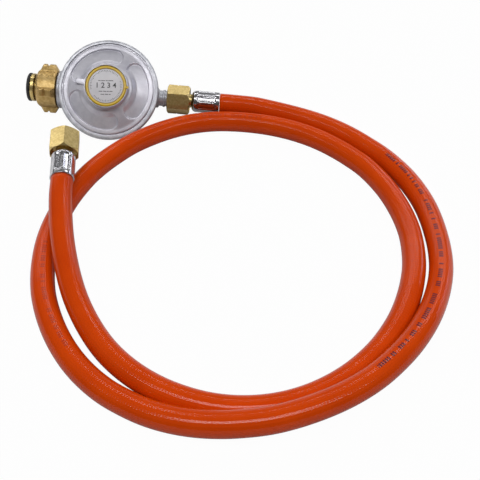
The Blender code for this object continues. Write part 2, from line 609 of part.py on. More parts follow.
def cap_and_label():
    """Yellow sealing cap with its tab, and the plain plate that sits in its face."""
    hollow = CAP_THREAD_RADIUS - 1.6 * MM
    face_bottom = CAP_FACE - LABEL_THICK - GAP
    cap = turned("yellow_cap", [
        (0.0, face_bottom), (LABEL_RADIUS + GAP, face_bottom), (LABEL_RADIUS + GAP, CAP_FACE - 0.1 * MM),
        (LABEL_RADIUS + GAP + 0.2 * MM, CAP_FACE), (CAP_RADIUS - 0.3 * MM, CAP_FACE),
        (CAP_RADIUS, CAP_FACE - 0.3 * MM), (CAP_RADIUS, CAP_SEAT + GAP),
        (CAP_THREAD_RADIUS, CAP_SEAT + GAP), (CAP_THREAD_RADIUS, CAP_SEAT - CAP_THREAD_LENGTH),
        (hollow, CAP_SEAT - CAP_THREAD_LENGTH), (hollow, face_bottom - 1.2 * MM),
        (0.0, face_bottom - 1.2 * MM),
    ], part, REGULATOR, steps=32)
    paint(cap, yellow)
    tab = block(
        "tab_form", (CAP_RADIUS - 0.6 * MM, -TAB_SIZE / 2, COVER_TOP + GAP),
        (CAP_RADIUS + TAB_SIZE, TAB_SIZE / 2, COVER_TOP + GAP + 0.5 * MM), cutters, REGULATOR)
    stalk = block(
        "tab_stalk", (CAP_RADIUS - 0.7 * MM, -TAB_SIZE / 2, CAP_FACE - 0.8 * MM),
        (CAP_RADIUS - 0.1 * MM, TAB_SIZE / 2, COVER_TOP + GAP + 0.4 * MM), cutters, REGULATOR)
    boolean(cap, "UNION", stalk)
    boolean(cap, "UNION", tab)

    plate = turned("label_plate", [
        (0.0, CAP_FACE), (LABEL_RADIUS - 0.15 * MM, CAP_FACE), (LABEL_RADIUS, CAP_FACE - 0.15 * MM),
        (LABEL_RADIUS, CAP_FACE - LABEL_THICK), (0.0, CAP_FACE - LABEL_THICK),
    ], part, REGULATOR, steps=32)
    paint(plate, label_grey)
    return cap, plate


def adjusting_screw():
    """Threaded ring that sets the spring, with a hexagonal socket and a seat for the spring."""
    bottom = SCREW_TOP - SCREW_LENGTH
    pocket = SPRING_RADIUS + SPRING_WIRE / 2 + GAP
    body = turned("adjusting_screw", [
        (0.0, SCREW_TOP), (SCREW_RADIUS - 0.3 * MM, SCREW_TOP), (SCREW_RADIUS, SCREW_TOP - 0.3 * MM),
        (SCREW_RADIUS, bottom), (pocket, bottom), (pocket, bottom + SCREW_POCKET),
        (0.0, bottom + SCREW_POCKET),
    ], part, REGULATOR, steps=28)
    paint(body, white_plastic)
    socket = rod(
        "socket_cut", SCREW_SOCKET, (0.0, 0.0, bottom - CUT), (0.0, 0.0, SCREW_TOP + CUT),
        cutters, REGULATOR, sides=6)
    boolean(body, "DIFFERENCE", socket)
    return body


# ---- diaphragm and spring

def diaphragm_group():
    """Rubber diaphragm, the plates each side of it and the stem through them."""
    hole = STEM_RADIUS + GAP
    low, high = DIAPHRAGM_BOTTOM, DIAPHRAGM_TOP
    fold_in = PLATE_RADIUS + 2.0 * MM
    fold_out = CHAMBER_RADIUS - 2.4 * MM
    fold_mid = (fold_in + fold_out) / 2
    width = fold_out - fold_in
    sheet = turned("diaphragm", [
        (hole, high), (fold_in, high), (fold_in + 0.18 * width, high - DIAPHRAGM_FOLD * 0.7),
        (fold_mid, high - DIAPHRAGM_FOLD), (fold_out - 0.18 * width, high - DIAPHRAGM_FOLD * 0.7),
        (fold_out, high), (FLANGE_RADIUS, high), (FLANGE_RADIUS, low), (fold_out - 0.14 * width, low),
        (fold_out - 0.32 * width, low - DIAPHRAGM_FOLD * 0.7), (fold_mid, low - DIAPHRAGM_FOLD),
        (fold_in + 0.32 * width, low - DIAPHRAGM_FOLD * 0.7), (fold_in + 0.14 * width, low), (hole, low),
    ], part, REGULATOR, steps=28)
    paint(sheet, rubber)

    over = high + GAP
    upper = turned("upper_diaphragm_plate", [
        (hole, over + PLATE_THICK), (PLATE_RADIUS - PLATE_THICK, over + PLATE_THICK),
        (PLATE_RADIUS - PLATE_THICK * 0.6, over + PLATE_THICK + PLATE_LIP),
        (PLATE_RADIUS, over + PLATE_THICK + PLATE_LIP), (PLATE_RADIUS, over), (hole, over),
    ], part, REGULATOR, steps=24)
    paint(upper, steel)
    under = low - GAP
    lower = turned("lower_diaphragm_plate", [
        (hole, under), (PLATE_RADIUS - 0.5 * MM, under), (PLATE_RADIUS - 0.5 * MM, under - PLATE_THICK),
        (STEM_FOOT_RADIUS + 1.6 * MM, under - PLATE_THICK),
        (STEM_FOOT_RADIUS + 1.6 * MM, under - 2.2 * MM),
        (hole, under - 2.2 * MM),
    ], part, REGULATOR, steps=24)
    paint(lower, steel)

    window = LEVER_THICK / 2 + GAP + 0.1 * MM
    foot_top = under - 2.2 * MM - GAP
    foot_bottom = LEVER_TIP_Z - window - 1.0 * MM
    head = over + PLATE_THICK + GAP
    stem = turned("diaphragm_stem", [
        (0.0, head + STEM_HEAD_THICK), (STEM_HEAD_RADIUS, head + STEM_HEAD_THICK), (STEM_HEAD_RADIUS, head),
        (STEM_RADIUS, head), (STEM_RADIUS, foot_top), (STEM_FOOT_RADIUS, foot_top),
        (STEM_FOOT_RADIUS, foot_bottom), (0.0, foot_bottom),
    ], part, REGULATOR, steps=20)
    paint(stem, brass)
    side = LEVER_WIDTH / 2 + GAP
    opening = block(
        "stem_window_cut", (-4.0 * MM, -side, LEVER_TIP_Z - window), (4.0 * MM, side, LEVER_TIP_Z + window),
        cutters, REGULATOR)
    boolean(stem, "DIFFERENCE", opening)
    return sheet, upper, lower, stem


def main_spring():
    """Control spring between the upper plate and the adjusting screw, one unbroken wire."""
    bottom = DIAPHRAGM_TOP + GAP + PLATE_THICK + GAP + SPRING_WIRE / 2
    top = SCREW_TOP - SCREW_LENGTH + SCREW_POCKET - GAP - SPRING_WIRE / 2
    count = int(SPRING_TURNS * 10)
    curve = bpy.data.curves.new("main_spring", "CURVE")
    curve.dimensions = "3D"
    curve.bevel_depth = SPRING_WIRE / 2
    curve.bevel_resolution = 1
    curve.use_fill_caps = True
    curve.resolution_u = 1
    spline = curve.splines.new("POLY")
    spline.points.add(count)
    points = []
    for step, point in enumerate(spline.points):
        angle = math.tau * SPRING_TURNS * step / count
        place = Vector((
            SPRING_RADIUS * math.cos(angle), SPRING_RADIUS * math.sin(angle),
            bottom + (top - bottom) * step / count))
        point.co = (*place, 1.0)
        points.append(place)
    print("main_spring least gap between its turns (mm):", round(least_gap(points, SPRING_WIRE, 6) * 1000, 2))
    spring = add_object("main_spring", curve, part, REGULATOR)
    paint(spring, steel)
    return spring


# ---- lever and inlet valve

def lever_group():
    """Lever on its pin: the finger moves the valve, the long arm hangs in the stem's window."""
    half = LEVER_THICK / 2
    tip = LEVER_TIP_Z - PIVOT_Z
    finger = half * 0.95
    eye = []
    for step in range(13):
        angle = math.radians(150.0 + 235.0 * step / 12)
        eye.append((LEVER_EYE * math.cos(angle), LEVER_EYE * math.sin(angle)))
    outline = [(-finger, FINGER_HEIGHT), (-finger, LEVER_EYE * 0.9)] + eye + [
        (4.4 * MM, 0.9 * MM), (6.6 * MM, tip - half), (PIVOT_ARM + LEVER_REACH, tip - half),
        (PIVOT_ARM + LEVER_REACH, tip + half), (6.0 * MM, tip + half), (3.6 * MM, 2.1 * MM),
        (1.9 * MM, 1.5 * MM), (finger, LEVER_EYE * 0.95), (finger, FINGER_HEIGHT)]
    hole = [
        ((PIN_RADIUS + GAP) * math.cos(turn), (PIN_RADIUS + GAP) * math.sin(turn))
        for turn in [math.tau * step / 16 for step in range(16)]]
    lever = flat_solid("lever", [outline, hole], LEVER_WIDTH, part, REGULATOR)
    lever.location = (PIVOT_X, 0.0, PIVOT_Z)
    lever.rotation_euler = (math.pi / 2, 0.0, 0.0)
    paint(lever, steel)
    pin = rod(
        "lever_pin", PIN_RADIUS, (PIVOT_X, -PIN_LENGTH / 2, PIVOT_Z), (PIVOT_X, PIN_LENGTH / 2, PIVOT_Z),
        part, REGULATOR, sides=20)
    paint(pin, steel)
    return lever, pin


def valve_group():
    """Valve carrier with its notch for the finger, the rubber pad and the inlet nozzle."""
    carrier = turned("valve_carrier", [
        (0.0, CARRIER_END), (CARRIER_RADIUS - 0.3 * MM, CARRIER_END),
        (CARRIER_RADIUS, CARRIER_END - 0.3 * MM),
        (CARRIER_RADIUS, CARRIER_START), (PAD_RADIUS + GAP, CARRIER_START),
        (PAD_RADIUS + GAP, CARRIER_START + PAD_THICK), (0.0, CARRIER_START + PAD_THICK),
    ], part, REGULATOR, steps=24, along_x=True)
    paint(carrier, brass)
    under = block(
        "carrier_tongue_cut", (PIVOT_X - LEVER_EYE - 2 * GAP, -4.0 * MM, -4.0 * MM),
        (CARRIER_END + CUT, 4.0 * MM, TONGUE_BOTTOM), cutters, REGULATOR)
    boolean(carrier, "DIFFERENCE", under)
    side = LEVER_THICK / 2 + GAP
    notch = block(
        "carrier_notch_cut", (PIVOT_X - side, -LEVER_WIDTH / 2 - GAP, TONGUE_BOTTOM - CUT),
        (PIVOT_X + side, LEVER_WIDTH / 2 + GAP, PIVOT_Z + FINGER_HEIGHT + GAP), cutters, REGULATOR)
    boolean(carrier, "DIFFERENCE", notch)

    pad = turned("valve_pad", [
        (0.0, CARRIER_START + PAD_THICK - GAP), (PAD_RADIUS, CARRIER_START + PAD_THICK - GAP),
        (PAD_RADIUS, CARRIER_START), (0.0, CARRIER_START),
    ], part, REGULATOR, steps=28, along_x=True)
    paint(pad, rubber)

    shoulder = NOZZLE_SHOULDER + NOZZLE_LENGTH
    nozzle = turned("inlet_nozzle", [
        (NOZZLE_ORIFICE, NOZZLE_TIP), (NOZZLE_SEAT, NOZZLE_TIP), (NOZZLE_SEAT + 0.5 * MM, shoulder),
        (NOZZLE_RADIUS, shoulder), (NOZZLE_RADIUS, NOZZLE_SHOULDER), (GAS_BORE, NOZZLE_SHOULDER),
        (GAS_BORE, NOZZLE_SHOULDER + 3.0 * MM), (NOZZLE_ORIFICE, NOZZLE_SHOULDER + 4.4 * MM),
    ], part, REGULATOR, steps=24, along_x=True)
    paint(nozzle, brass)
    return carrier, pad, nozzle


# ---- bottle connection

def bottle_connection():
    """Nipple screwed in the body, its filter and seals, the slip washer and the hand nut."""
    head_front = NIPPLE_HEAD_REAR - NIPPLE_HEAD_LENGTH
    collar_face = BOSS_FACE - NIPPLE_COLLAR_THICK / 6
    pocket = FILTER_LENGTH + GAP
    nipple = turned("inlet_nipple", [
        (GAS_BORE, NOZZLE_SHOULDER - 2 * GAP), (SHANK_RADIUS - 0.5 * MM, NOZZLE_SHOULDER - 2 * GAP),
        (SHANK_RADIUS, NOZZLE_SHOULDER - 2 * GAP - 0.5 * MM), (SHANK_RADIUS, collar_face),
        (NIPPLE_COLLAR_RADIUS, collar_face), (NIPPLE_COLLAR_RADIUS, collar_face - NIPPLE_COLLAR_THICK),
        (SHANK_RADIUS, collar_face - NIPPLE_COLLAR_THICK), (SHANK_RADIUS, NIPPLE_HEAD_REAR),
        (NIPPLE_HEAD_RADIUS - 0.5 * MM, NIPPLE_HEAD_REAR), (NIPPLE_HEAD_RADIUS, NIPPLE_HEAD_REAR - 0.6 * MM),
        (NIPPLE_HEAD_RADIUS, head_front + 0.3 * MM), (NIPPLE_HEAD_RADIUS - 0.3 * MM, head_front),
        (SEAL_BORE + 1.6 * MM + GAP, head_front),
        (SEAL_BORE + 1.6 * MM + GAP, head_front + SEAL_SPIGOT + GAP),
        (FILTER_RADIUS + GAP, head_front + SEAL_SPIGOT + GAP),
        (FILTER_RADIUS + GAP, head_front + SEAL_SPIGOT + GAP + pocket),
        (GAS_BORE, head_front + SEAL_SPIGOT + GAP + pocket),
    ], part, REGULATOR, steps=26, along_x=True)
    paint(nipple, brass)

    gasket = turned("nipple_gasket", ring_outline(
        SHANK_RADIUS + GAP, NIPPLE_COLLAR_RADIUS, collar_face + GAP, collar_face + GAP + GASKET_THICK,
    ), part, REGULATOR, steps=24, along_x=True)
    paint(gasket, rubber)

    filter_disc = turned("inlet_filter", [
        (0.0, head_front + SEAL_SPIGOT + GAP + FILTER_LENGTH),
        (FILTER_RADIUS, head_front + SEAL_SPIGOT + GAP + FILTER_LENGTH),
        (FILTER_RADIUS, head_front + SEAL_SPIGOT + GAP),
        (FILTER_RADIUS - 0.9 * MM, head_front + SEAL_SPIGOT - 0.3 * MM),
        (0.0, head_front + SEAL_SPIGOT - 0.6 * MM),
    ], part, REGULATOR, steps=24, along_x=True)
    paint(filter_disc, steel)

    seal_rear = head_front - GAP
    seal = turned("bottle_seal", [
        (SEAL_BORE, seal_rear + SEAL_SPIGOT), (SEAL_BORE + 1.6 * MM, seal_rear + SEAL_SPIGOT),
        (SEAL_BORE + 1.6 * MM, seal_rear), (SEAL_RADIUS - 0.5 * MM, seal_rear),
        (SEAL_RADIUS, seal_rear - 0.5 * MM), (SEAL_RADIUS, seal_rear - SEAL_LENGTH + 0.7 * MM),
        (SEAL_RADIUS - 0.7 * MM, seal_rear - SEAL_LENGTH), (SEAL_BORE, seal_rear - SEAL_LENGTH),
    ], part, REGULATOR, steps=28, along_x=True)
    paint(seal, rubber)

    nut_front = HAND_NUT_END - HAND_NUT_LENGTH
    washer_right = HAND_NUT_END - HAND_NUT_SHOULDER - GAP
    washer = turned("slip_washer", ring_outline(
        SHANK_RADIUS + GAP, WASHER_RADIUS, washer_right - WASHER_THICK, washer_right,
    ), part, REGULATOR, steps=28, along_x=True)
    paint(washer, steel)

    nut = flat_solid("hand_nut", [hand_nut_outline()], HAND_NUT_LENGTH, part, REGULATOR)
    nut.location = ((HAND_NUT_END + nut_front) / 2, 0.0, 0.0)
    nut.rotation_euler = (Matrix.Rotation(-TILT, 3, "X") @ Matrix.Rotation(math.pi / 2, 3, "Y")).to_euler()
    paint(nut, brass)
    half = HAND_NUT_LENGTH / 2
    chamfer = turned("hand_nut_chamfer", [
        (0.0, half + CUT), (HAND_NUT_TIP - CUT, half + CUT), (HAND_NUT_TIP - CUT, half),
        (HAND_NUT_TIP + 0.2 * MM, half - 1.2 * MM),
        (HAND_NUT_TIP + 0.2 * MM, -half + 3.0 * MM), (HAND_NUT_BORE + 1.4 * MM, -half),
        (HAND_NUT_BORE + 1.4 * MM, -half - CUT), (0.0, -half - CUT),
    ], cutters, nut, steps=30)
    boolean(nut, "INTERSECT", chamfer)
    bore = turned("hand_nut_bore", [
        (0.0, half + CUT), (SHANK_RADIUS + GAP, half + CUT),
        (SHANK_RADIUS + GAP, half - HAND_NUT_SHOULDER),
        (HAND_NUT_BORE, half - HAND_NUT_SHOULDER), (HAND_NUT_BORE, -half + 0.6 * MM),
        (HAND_NUT_BORE + 0.7 * MM, -half - 0.1 * MM), (HAND_NUT_BORE + 0.7 * MM, -half - CUT),
        (0.0, -half - CUT),
    ], cutters, nut, steps=30)
    boolean(nut, "DIFFERENCE", bore)
    groove = turned("hand_nut_groove", [
        (HAND_NUT_TIP + CUT, NUT_GROOVE_DEPTH + CUT), (HAND_NUT_TIP + CUT, -NUT_GROOVE_DEPTH - CUT),
        (HAND_NUT_TIP - NUT_GROOVE_DEPTH, 0.0),
    ], cutters, nut, steps=36)
    boolean(nut, "DIFFERENCE", groove)
    return nipple, gasket, filter_disc, seal, washer, nut


def hand_nut_outline():
    """Hexagonal body with a filleted, flat-topped ridge on each corner."""
    points = []
    ridge = HAND_NUT_RIDGE_WIDTH / 2
    tip = HAND_NUT_TIP_WIDTH / 2
    root = HAND_NUT_APOTHEM / math.cos(math.pi / 6) - ridge * math.tan(math.pi / 6)
    shape = [
        (root - 0.75 * MM, -ridge - 1.3 * MM), (root + 0.2 * MM, -ridge),
        (HAND_NUT_TIP - 0.3 * MM, -tip - 0.2 * MM), (HAND_NUT_TIP, -tip + 0.1 * MM),
        (HAND_NUT_TIP, tip - 0.1 * MM), (HAND_NUT_TIP - 0.3 * MM, tip + 0.2 * MM),
        (root + 0.2 * MM, ridge), (root - 0.75 * MM, ridge + 1.3 * MM)]
    for count in range(HAND_NUT_RIDGES):
        angle = math.tau * count / HAND_NUT_RIDGES
        for out, across in shape:
            points.append((
                out * math.cos(angle) - across * math.sin(angle),
                out * math.sin(angle) + across * math.cos(angle)))
    return points


# ---- hose fittings: local X runs from the ferrule's mouth toward the nut

def hose_fitting(prefix, frame, nut_start, nut_turn):
    """Crimped ferrule, hose tail with its cone nose and the union nut that rides on it."""
    shoulder_in = FERRULE_RADIUS - 1.8 * MM
    ferrule = turned(prefix + "_ferrule", [
        (TAIL_STEM_RADIUS + GAP, FERRULE_LENGTH), (shoulder_in, FERRULE_LENGTH),
        (FERRULE_RADIUS - 0.8 * MM, FERRULE_LENGTH - 0.5 * MM),
        (FERRULE_RADIUS - 0.2 * MM, FERRULE_LENGTH - FERRULE_SHOULDER * 0.6),
        (FERRULE_RADIUS, FERRULE_LENGTH - FERRULE_SHOULDER), (FERRULE_RADIUS, 0.8 * MM),
        (FERRULE_RADIUS - 0.15 * MM, 0.0), (TAIL_STEM_RADIUS + GAP, 0.0),
    ], part, frame, steps=28, along_x=True)
    paint(ferrule, steel)
    dimple_cuts(prefix, ferrule)

    tail = turned(prefix + "_hose_tail", [
        (TAIL_BORE, TAIL_COLLAR_END + TAIL_NOSE_LENGTH), (TAIL_NOSE_TIP, TAIL_COLLAR_END + TAIL_NOSE_LENGTH),
        (TAIL_NOSE_RADIUS, TAIL_COLLAR_END), (TAIL_COLLAR_RADIUS - 0.3 * MM, TAIL_COLLAR_END),
        (TAIL_COLLAR_RADIUS, TAIL_COLLAR_END - 0.3 * MM), (TAIL_COLLAR_RADIUS, TAIL_COLLAR_START),
        (TAIL_NECK_RADIUS, TAIL_COLLAR_START), (TAIL_NECK_RADIUS, FERRULE_LENGTH + GAP),
        (TAIL_STEM_RADIUS, FERRULE_LENGTH + GAP), (TAIL_STEM_RADIUS, GAP), (TAIL_BORE, GAP),
    ], part, frame, steps=20, along_x=True)
    paint(tail, brass)

    nut = rod(
        prefix + "_union_nut", NUT_CORNER, (0.0, 0.0, 0.0), (0.0, 0.0, NUT_LENGTH), part, frame, sides=6)
    nut.location = (nut_start, 0.0, 0.0)
    nut.rotation_euler = (Matrix.Rotation(nut_turn, 3, "X") @ Matrix.Rotation(math.pi / 2, 3, "Y")).to_euler()
    paint(nut, brass)
    flat = NUT_ACROSS_FLATS / 2
    chamfer = turned(prefix + "_nut_chamfer", [
        (0.0, NUT_LENGTH + CUT), (flat - 0.2 * MM, NUT_LENGTH + CUT), (flat - 0.2 * MM, NUT_LENGTH),
        (NUT_CORNER + 0.1 * MM, NUT_LENGTH - 0.9 * MM), (NUT_CORNER + 0.1 * MM, 2.2 * MM),
        (flat + 0.3 * MM, 0.9 * MM), (NUT_DISH_RADIUS + 0.4 * MM, 0.0),
        (NUT_DISH_RADIUS + 0.4 * MM, -CUT), (0.0, -CUT),
    ], cutters, nut, steps=30)
    boolean(nut, "INTERSECT", chamfer)
    bore = turned(prefix + "_nut_bore", [
        (0.0, NUT_LENGTH + CUT), (NUT_BORE + 0.8 * MM, NUT_LENGTH + CUT), (NUT_BORE + 0.8 * MM, NUT_LENGTH),
        (NUT_BORE, NUT_LENGTH - 0.8 * MM), (NUT_BORE, NUT_SHOULDER), (NUT_HOLE, NUT_SHOULDER),
        (NUT_HOLE, NUT_DISH_DEPTH + 0.5 * MM), (NUT_DISH_RADIUS - 1.6 * MM, NUT_DISH_DEPTH),
        (NUT_DISH_RADIUS, 0.0), (NUT_DISH_RADIUS, -CUT), (0.0, -CUT),
    ], cutters, nut, steps=24)
    boolean(nut, "DIFFERENCE", bore)
    middle = NUT_LENGTH * 0.55
    notch = turned(prefix + "_nut_notch", [
        (NUT_CORNER + CUT, middle + NUT_NOTCH_DEPTH + CUT),
        (NUT_CORNER + CUT, middle - NUT_NOTCH_DEPTH - CUT),
        (NUT_CORNER - NUT_NOTCH_DEPTH, middle),
    ], cutters, nut, steps=30)
    boolean(nut, "DIFFERENCE", notch)
    return ferrule, tail, nut


def dimple_cuts(prefix, ferrule):
    """Ring of round-ended press marks, cut together from one cutter."""
    half = (DIMPLE_LENGTH - DIMPLE_WIDTH) / 2
    outline = []
    for end in (1, -1):
        for step in range(5):
            angle = math.pi * step / 4 - (math.pi / 2 if end > 0 else -math.pi / 2)
            outline.append((
                end * half + DIMPLE_WIDTH / 2 * math.cos(angle), DIMPLE_WIDTH / 2 * math.sin(angle)))
    one = flat_solid(prefix + "_dimple_cut", [outline], 2 * CUT, cutters, ferrule)
    work = bmesh.new()
    work.from_mesh(one.data)
    middle = FERRULE_LENGTH / 2 - 0.6 * MM
    lift = FERRULE_RADIUS - DIMPLE_DEPTH + CUT
    stand = Matrix.Translation((0.0, 0.0, middle)) @ Matrix.Translation((lift, 0.0, 0.0)) @ Matrix.Rotation(
        math.pi / 2, 4, "Y")
    bmesh.ops.transform(work, matrix=stand, verts=work.verts)
    first = list(work.verts) + list(work.edges) + list(work.faces)
    for count in range(1, DIMPLES):
        copied = bmesh.ops.duplicate(work, geom=first)
        moved = [item for item in copied["geom"] if isinstance(item, bmesh.types.BMVert)]
        turn = Matrix.Rotation(math.tau * count / DIMPLES, 3, "Z")
        bmesh.ops.rotate(work, cent=(0, 0, 0), matrix=turn, verts=moved)
    work.to_mesh(one.data)
    work.free()
    boolean(ferrule, "DIFFERENCE", one)


# ---- hose

def smooth_curve(points, steps=24):
    """Points of a smooth curve through the given ones."""
    padded = [2 * points[0] - points[1]] + points + [2 * points[-1] - points[-2]]
    line = []
    for index in range(1, len(padded) - 2):
        before, start, end, after = padded[index - 1:index + 3]
        for step in range(steps):
            t = step / steps
            line.append(0.5 * (
                2 * start + (end - before) * t + (2 * before - 5 * start + 4 * end - after) * t * t
                + (3 * start - before - 3 * end + after) * t ** 3))
    line.append(points[-1])
    return line


def spaced(line, count):
    """The given number of points, equally far apart along a line."""
    lengths = [0.0]
    for first, second in zip(line, line[1:]):
        lengths.append(lengths[-1] + (second - first).length)
    points = []
    index = 0
    for step in range(count):
        want = lengths[-1] * step / (count - 1)
        while index < len(line) - 2 and lengths[index + 1] < want:
            index += 1
        share = (want - lengths[index]) / max(lengths[index + 1] - lengths[index], 1e-9)
        points.append(line[index].lerp(line[index + 1], min(share, 1.0)))
    return points, lengths[-1]


def least_gap(points, thickness, skip, fine=8):
    """Least gap of a tube to itself, measured on a finer set of points."""
    dense = []
    for first, second in zip(points, points[1:]):
        dense += [first.lerp(second, step / fine) for step in range(fine)]
    tree = KDTree(len(dense))
    for index, point in enumerate(dense):
        tree.insert(point, index)
    tree.balance()
    least = 1.0
    for index, point in enumerate(dense):
        for _, other, distance in tree.find_range(point, thickness * 2.2):
            if abs(other - index) > skip * fine:
                least = min(least, distance - thickness)
    return least


def hose(mouth_frame, end_frame):
    """The hose: one tube from the outlet ferrule's mouth to the end ferrule's mouth."""
    bpy.context.view_layer.update()
    start_place = mouth_frame.matrix_world
    end_place = end_frame.matrix_world
    straight = 2 * HOSE_RADIUS
    start = start_place @ Vector((-GAP, 0.0, 0.0))
    leave = start_place @ Vector((-straight, 0.0, 0.0))
    arrive = end_place @ Vector((-straight, 0.0, 0.0))
    stop = end_place @ Vector((-GAP, 0.0, 0.0))
    chosen = [Vector(point) * MM for point in FIRST_TURN + SECOND_TURN + HOSE_END]
    line = smooth_curve([start, leave] + chosen + [arrive, stop])
    points, length = spaced(line, HOSE_POINT_COUNT)
    print("hose length (m):", round(length, 4))
    print("hose least gap to itself (mm):", round(least_gap(points, 2 * HOSE_RADIUS, 4) * 1000, 2))
    curve = bpy.data.curves.new("hose", "CURVE")
    curve.dimensions = "3D"
    curve.bevel_depth = HOSE_RADIUS
    curve.bevel_resolution = 4
    curve.use_fill_caps = True
    curve.resolution_u = 1
    spline = curve.splines.new("POLY")
    spline.points.add(len(points) - 1)
    for point, place in zip(spline.points, points):
        point.co = (*place, 1.0)
    tube = add_object("hose", curve, part)
    paint(tube, orange)
    return tube


# ---- the assembly

lower_body()
cover()
cap_and_label()
adjusting_screw()
diaphragm_group()
main_spring()
lever_group()
valve_group()
bottle_connection()

outlet_frame = empty("outlet_fitting_frame", part, (FERRULE_MOUTH, 0.0, 0.0), (0.0, 0.0, math.pi))
outlet_frame.parent = REGULATOR
hose_fitting("outlet", outlet_frame, FERRULE_LENGTH + NUT_FROM_FERRULE, TILT)

end_direction = (Matrix.Rotation(END_HEADING, 3, "Z") @ Matrix.Rotation(-END_RISE, 3, "Y")).to_euler()
end_frame = empty("end_fitting_frame", part, (END_X, END_Y, END_Z), end_direction)
hose_fitting("end", end_frame, FERRULE_LENGTH + NUT_FROM_FERRULE - END_NUT_SLIDE, math.pi / 6)

hose(outlet_frame, end_frame)
bpy.context.view_layer.update()
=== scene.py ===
# %% [markdown]
# # A gas regulator with a coiled hose
# The regulator lies tilted on a white table, on the rim of its round housing.  Its hose goes
# round twice beside it.  The solid pieces come ready made, at their true size and place, and
# this lesson gives them the surfaces and the fine forms that a camera sees.
# All lengths are in metres, and a name ending in MM is in millimetres.

# %% Load the solid pieces
import json
import math

import bmesh
import bpy
from mathutils import Matrix, Vector


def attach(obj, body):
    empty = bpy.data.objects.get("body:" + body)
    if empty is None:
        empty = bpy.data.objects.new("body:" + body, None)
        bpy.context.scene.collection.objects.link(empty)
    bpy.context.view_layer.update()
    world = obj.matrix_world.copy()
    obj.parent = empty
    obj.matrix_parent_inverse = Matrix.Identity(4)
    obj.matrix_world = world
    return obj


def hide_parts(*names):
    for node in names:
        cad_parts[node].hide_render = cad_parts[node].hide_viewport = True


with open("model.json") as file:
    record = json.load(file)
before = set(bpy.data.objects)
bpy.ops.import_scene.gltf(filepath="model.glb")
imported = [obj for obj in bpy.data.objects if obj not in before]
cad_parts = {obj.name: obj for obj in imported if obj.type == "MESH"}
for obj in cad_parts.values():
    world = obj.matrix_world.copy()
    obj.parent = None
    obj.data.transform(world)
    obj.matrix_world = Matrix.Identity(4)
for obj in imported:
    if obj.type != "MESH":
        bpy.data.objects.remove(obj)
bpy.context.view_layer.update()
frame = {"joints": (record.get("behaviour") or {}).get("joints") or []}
MM = 0.001

# %% [markdown]
# The housing is tilted, so its pieces are drawn in their own frame and then turned into place.
# That frame is read from the moving joints: the hand nut slides along the gas pipe, and the
# diaphragm moves along the axis of the round housing.  At the loose end, ferrule and tail sit
# 1.6 mm further back than in the solids, as the photograph shows them.

# %% The regulator's own frame
HAND_NUT_MIDDLE_MM = -42.2
END_NUT_MIDDLE_MM = 25.4
OUTLET_MOUTH_MM = 74.1
END_BACK_MM = 1.6

joints = {joint["name"]: joint for joint in frame["joints"]}


def frame_from(origin, along, upward):
    """Matrix of a frame with its X along one direction and its Z as near upward as it can be."""
    x_axis = Vector(along).normalized()
    y_axis = Vector(upward).cross(x_axis).normalized()
    z_axis = x_axis.cross(y_axis)
    turn = Matrix((x_axis, y_axis, z_axis)).transposed().to_4x4()
    return Matrix.Translation(origin) @ turn


pipe_axis = -Vector(joints["hand_nut_slip"]["axis"])
disc_axis = Vector(joints["diaphragm_travel"]["axis"])
nut_place = Vector(joints["hand_nut_spin"]["pos_m"])
REGULATOR = frame_from(nut_place - pipe_axis * HAND_NUT_MIDDLE_MM * MM, pipe_axis, disc_axis)

end_axis = Vector(joints["end_nut_spin"]["axis"])
end_mouth = Vector(joints["end_nut_spin"]["pos_m"]) - end_axis * END_NUT_MIDDLE_MM * MM
END_FITTING = frame_from(end_mouth - end_axis * END_BACK_MM * MM, end_axis, (0, 0, 1))
outlet_mouth = REGULATOR @ Vector((OUTLET_MOUTH_MM * MM, 0, 0))
OUTLET_FITTING = frame_from(outlet_mouth, -pipe_axis, disc_axis)
print("regulator at (mm):", [round(v * 1000, 2) for v in REGULATOR.translation])

# %% [markdown]
# The camera stands in front of the coil, a little right of the regulator, and looks down at
# about fifty degrees.  A narrow field of view keeps the turns of the hose from spreading.

# %% The camera
CAMERA_PLACE = (0.1059, -0.3798, 0.32327)
CAMERA_TARGET = (0.0938, -0.1088, 0.0)
FIELD_OF_VIEW = math.radians(37.16)

camera_data = bpy.data.cameras.new("camera")
camera_data.angle = FIELD_OF_VIEW
camera = bpy.data.objects.new("camera", camera_data)
bpy.context.collection.objects.link(camera)
camera.location = CAMERA_PLACE
aim = Vector(CAMERA_TARGET) - Vector(CAMERA_PLACE)
camera.rotation_euler = aim.to_track_quat("-Z", "Y").to_euler()
bpy.context.scene.camera = camera
print("camera height (mm):", round(camera.location.z * 1000))

# %% [markdown]
# A hex colour is written as a paint chart gives it, and one function turns it into the linear
# numbers that the shader wants.  Another small function adds a shader node, sets its sockets
# and joins its links, and short ones on top of it name the steps that repeat, so that a
# material reads as a list of steps.

# %% Colours and shader nodes


def linear(hex_colour):
    """Linear RGBA of a colour written like C8420A."""
    values = [int(hex_colour[place:place + 2], 16) / 255 for place in (0, 2, 4)]
    return [v / 12.92 if v <= 0.04045 else ((v + 0.055) / 1.055) ** 2.4 for v in values] + [1.0]


def node(tree, kind, inputs=None, **settings):
    """Adds a node; an input is a plain value, or the output socket that feeds it."""
    made = tree.nodes.new(kind)
    for name, value in settings.items():
        setattr(made, name, value)
    for name, value in (inputs or {}).items():
        if isinstance(value, bpy.types.NodeSocket):
            tree.links.new(value, made.inputs[name])
        else:
            made.inputs[name].default_value = value
    return made


